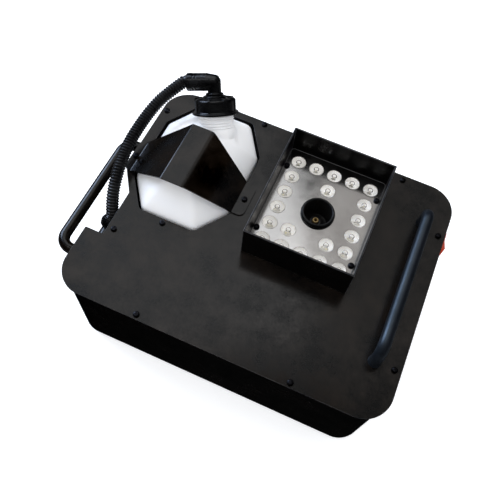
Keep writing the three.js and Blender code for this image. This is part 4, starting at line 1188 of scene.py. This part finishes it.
def make_inlet():
    """Mains inlet: recess with three blades under a small fuse drawer."""
    matrix, _ = on_wall("power_inlet")
    mouth = rounded([(-11, -16, 1.5), (11, -16, 1.5), (11, -2.5, 1), (6.8, 2, 1), (-6.8, 2, 1),
                     (-11, -2.5, 1)], 4)
    body = rectangle(-12.9, 12.9, -20.9, 20.9, 1.5, 4)
    inlet = panel_mesh(matrix, (rectangle(-15, 15, -24, 24, 3, 6), 0, 2.5, [mouth]),
                       (body, -13, -0.02, [mouth]), (body, -20, -13.02))
    add_piece(new_object("power_inlet_moulding", inlet), "panel", ["power_inlet"], 0.3)
    drawer = panel_mesh(matrix, (rectangle(-11, 11, 7, 18, 1.2, 5), 2.52, 3.6),
                        (rectangle(-3, 3, 15.0, 16.6, 0.7, 4), 3.62, 4.0))
    add_piece(new_object("fuse_drawer", drawer), "shroud", edge=0.3)
    blades = panel_mesh(matrix, *[(rectangle(x - 1, x + 1, y - 2, y + 2, 0.3, 3), -12.9, -3)
                                  for x, y in ((0, -3), (-6.5, -10), (6.5, -10))])
    add_piece(new_object("inlet_blades", blades), "pin", edge=0.3)
    add_countersunk("inlet_screw_a", matrix, -12.2, -21.0, 2.5, 1.7)
    add_countersunk("inlet_screw_b", matrix, 12.2, 21.0, 2.5, 1.7)


def make_menu():
    """Settings panel with a smoked window and four round buttons."""
    matrix, size = on_wall("menu_panel")
    origin = matrix.translation
    width, height, thick = size.y, size.z, size.x
    low, high = box_mm("display_window")
    half, below, above = (high.y - low.y) / 2, low.z - origin.z, high.z - origin.z
    holes = [rectangle(-half - GAP, half + GAP, below - GAP, above + GAP, 1.0, 4)]
    places = []
    for i in range(4):
        low, high = box_mm(f"menu_button_{i + 1}")
        places.append((origin.y - (low.y + high.y) / 2, (low.z + high.z) / 2 - origin.z))
        holes.append(circle(*places[i], 4.8, 36))
    outline = rectangle(-width / 2, width / 2, -height / 2, height / 2, 4, 8)
    panel = new_object("menu_panel_moulding", panel_mesh(matrix, (outline, 0, thick, holes)))
    add_piece(panel, "panel", ["menu_panel"], 0.5, 3)
    glass = rectangle(-half, half, below, above, 0.8, 4)
    pane = new_object("display_window_pane", panel_mesh(matrix, (glass, -1.5, 1.9)))
    add_piece(pane, "window", ["display_window"], 0.3)
    cap = rounded([(0, -1.5, 0), (4.5, -1.5, 0), (4.5, thick + 1.6, 0.7), (2.8, thick + 1.5, 0.8),
                   (0, thick + 1.1, 0)], 5, closed=False)
    for i, place in enumerate(places):
        node = f"menu_button_{i + 1}"
        button = lathe_object(node + "_cap", cap, 40, matrix @ Matrix.Translation((*place, 0)))
        add_piece(button, "shroud", [node], angle=40, body=f"button_{i + 1}")
    corners = [(sx * (width / 2 - 4.5), sy * (height / 2 - 4.5)) for sx in (-1, 1) for sy in (-1, 1)]
    for letter, (x, y) in zip("abcd", corners):
        add_countersunk(f"menu_screw_{letter}", matrix, x, y, thick, 1.7)


# ------------------------------------------------------------------ screws
SCREW_HEAD = 2.6


def screw_pattern():
    """Pan head with a cross recess, with its seat at z = 0."""
    outline = rounded([(0, 0, 0), (3.45, 0, 0), (3.45, 1.1, 0.3), (2.6, 2.25, 1.6), (0, 2.58, 0)], 5,
                      closed=False)
    head = lathe_object("screw_pattern", outline, 36)
    cross = bmesh.new()
    add_cross(cross, 1.75, 0.42, 1.2, 4.0)
    cut_out(head, cross)
    soften(head, 0.12, 2, 30)
    return head


def make_screws():
    """Every visible screw is a copy of one pattern, turned to its own angle."""
    draw = random.Random(7)
    pattern = screw_pattern()
    shift = Matrix.Translation(-ORIGIN)
    for node in sorted(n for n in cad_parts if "screw" in n):
        low, high = box_mm(node)
        seat = Vector(((low.x + high.x) / 2, (low.y + high.y) / 2, high.z - SCREW_HEAD))
        screw = pattern.copy()
        screw.data = pattern.data.copy()
        turn = Matrix.Rotation(draw.uniform(0, math.pi), 4, "Z")
        screw.data.transform(Matrix.Translation(to_metres(seat)) @ turn @ shift)
        screw.name = node + "_head"
        bpy.context.scene.collection.objects.link(screw)
        ride_piece(screw, "screw", [node])
    bpy.data.objects.remove(pattern)


def make_bottom_screws():
    """Flat screws that hold the bottom plate, let into the sheet's underside."""
    low, high = box_mm("bottom_plate")
    edge, corner = 11, 30
    columns = (low.x + corner, HOOD_LOW.x, high.x - corner)
    spots = [(x, y) for y in (low.y + edge, high.y - edge) for x in columns]
    under = Matrix.Rotation(math.pi, 4, "X")
    for letter, (x, y) in zip("abcdef", spots):
        place = Matrix.Translation((x, y, low.z)) @ under
        add_countersunk(f"bottom_screw_{letter}", place, 0, 0, 0, 2.8)


# ------------------------------------------------------------------ inside the case
INSIDE = {
    "bottle_well": "case", "heater_cover": "zinc", "heater_block": "aluminium", "thermostat": "panel",
    "pump_body": "zinc", "pump_plunger": "pin", "suction_tube": "tubing", "pressure_tube": "tubing",
    "control_board": "board", "power_supply": "board",
}


def finish_inside():
    for node, material in INSIDE.items():
        give_materials(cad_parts[node], material)


# ------------------------------------------------------------------ stage, lights and camera
CAMERA = {"place": (257.5, -166.4, 583.8), "azimuth": -15.84, "elevation": 62.68,
          "roll": 8.52, "lens": 43.09}


def make_camera():
    """Camera from a point over the front edge, looking back and down with a slight roll."""
    azimuth, elevation = math.radians(CAMERA["azimuth"]), math.radians(CAMERA["elevation"])
    flat = math.cos(elevation)
    forward = Vector((math.sin(azimuth) * flat, math.cos(azimuth) * flat, -math.sin(elevation)))
    level = forward.cross(Vector((0, 0, 1))).normalized()
    upright = level.cross(forward)
    roll = math.radians(CAMERA["roll"])
    right = level * math.cos(roll) + upright * math.sin(roll)
    turn = Matrix((right, right.cross(forward), -forward)).transposed().to_4x4()
    data = bpy.data.cameras.new("camera")
    data.lens = CAMERA["lens"]
    data.sensor_width = 36
    data.clip_start = 0.01
    camera = bpy.data.objects.new("camera", data)
    bpy.context.scene.collection.objects.link(camera)
    camera.matrix_world = Matrix.Translation(to_metres(CAMERA["place"])) @ turn
    bpy.context.scene.camera = camera


def add_softbox(name, place, aim, size, radiance, color=(1, 1, 1)):
    """Rectangular light with a stated radiance, placed in metres and turned to face `aim`."""
    data = bpy.data.lights.new(name, "AREA")
    data.shape = "RECTANGLE"
    data.size, data.size_y = size
    data.energy = radiance * math.pi * size[0] * size[1]
    data.color = color
    lamp = bpy.data.objects.new(name, data)
    bpy.context.scene.collection.objects.link(lamp)
    lamp.location = place
    lamp.rotation_euler = (Vector(aim) - Vector(place)).to_track_quat("-Z", "Y").to_euler()
    lamp.visible_camera = False
    return lamp


def make_floor():
    bpy.ops.mesh.primitive_plane_add(size=8, location=(0, 0, 0))
    floor = bpy.context.object
    floor.name = "floor"
    shader = Shader("pale_floor", (0.92, 0.92, 0.92), 0.9, Specular_IOR_Level=0.1,
                    Emission_Color=(0.97, 0.98, 1.0, 1.0), Emission_Strength=0.45)
    shader.tint(shader.noise(3, 3.0), 0.3, (0.93, 0.93, 0.93), 0.7, (0.95, 0.95, 0.95))
    floor.data.materials.append(shader.material)
    floor.visible_glossy = False


def make_world():
    """Bright white room for matt surfaces; reflections see it dim, with a paler band low down."""
    world = bpy.data.worlds.new("studio")
    bpy.context.scene.world = world
    world.use_nodes = True
    tree = world.node_tree
    way = add_node(tree, "SeparateXYZ", Vector=add_node(tree, "TexCoord").outputs["Generated"])
    level = add_node(tree, "MapRange", Value=way.outputs["Z"], From_Min=-1.0)
    band = add_node(tree, "FloatCurve", Factor=1.0, Value=level.outputs["Result"])
    curve = band.mapping.curves[0]
    dim, pale = 0.012, 0.15
    curve.points[0].location = (0.0, dim)
    curve.points[1].location = (1.0, dim)
    for height, glow in ((0.17, dim), (0.23, pale), (0.34, pale), (0.38, dim)):
        curve.points.new(height, glow)
    band.mapping.update()
    rays = add_node(tree, "LightPath")
    mirrored = add_node(tree, "Math", Value=rays.outputs["Is Glossy Ray"])
    mirrored.operation = "SUBTRACT"
    mirrored.use_clamp = True
    tree.links.new(rays.outputs["Is Transmission Ray"], mirrored.inputs[1])
    strength = add_node(tree, "MapRange", Value=mirrored.outputs["Value"], To_Min=0.95,
                        To_Max=band.outputs["Value"])
    background = tree.nodes["Background"]
    background.inputs["Color"].default_value = (0.97, 0.98, 1.0, 1)
    tree.links.new(strength.outputs["Result"], background.inputs["Strength"])


def make_lights():
    top = add_softbox("top_fill", (-0.35, 0.35, 2.1), (0, 0, 0.1), (1.6, 1.6), 0.3)
    top.visible_glossy = False
    add_softbox("left_window", (-1.95, 0.7, 1.35), (0.1, 0.0, 0.14), (1.2, 1.2), 6.5,
                (0.72, 0.88, 1.18))
    add_softbox("back_left_softbox", (-0.62, 0.85, 1.74), (-0.1, 0.0, 0.1), (1.1, 1.4), 0.95,
                (0.96, 0.98, 1.0))
    add_softbox("back_softbox", (0.3, 1.0, 1.74), (0.1, 0.0, 0.1), (0.75, 1.2), 0.42,
                (1.0, 0.98, 0.96))
    add_softbox("overhead_strip", (-0.5, -0.25, 1.9), (0, 0, 0.15), (0.1, 1.4), 4.0)


def build():
    bpy.context.scene.view_settings.view_transform = "Standard"
    for make in (
            make_camera, make_floor, make_world, make_lights, make_hose, make_top_plate, make_body_shell,
            make_bottom_plate, make_feet, make_bottle, make_strap, make_cap, make_elbow, make_gland,
            make_hood, make_led_panel, make_led_board, make_lens_cups, make_lenses, make_shroud,
            make_nozzle, make_handles, make_rocker, make_data_sockets, make_latch, make_inlet, make_menu,
            make_screws, make_bottom_screws, finish_inside):
        make()


build()
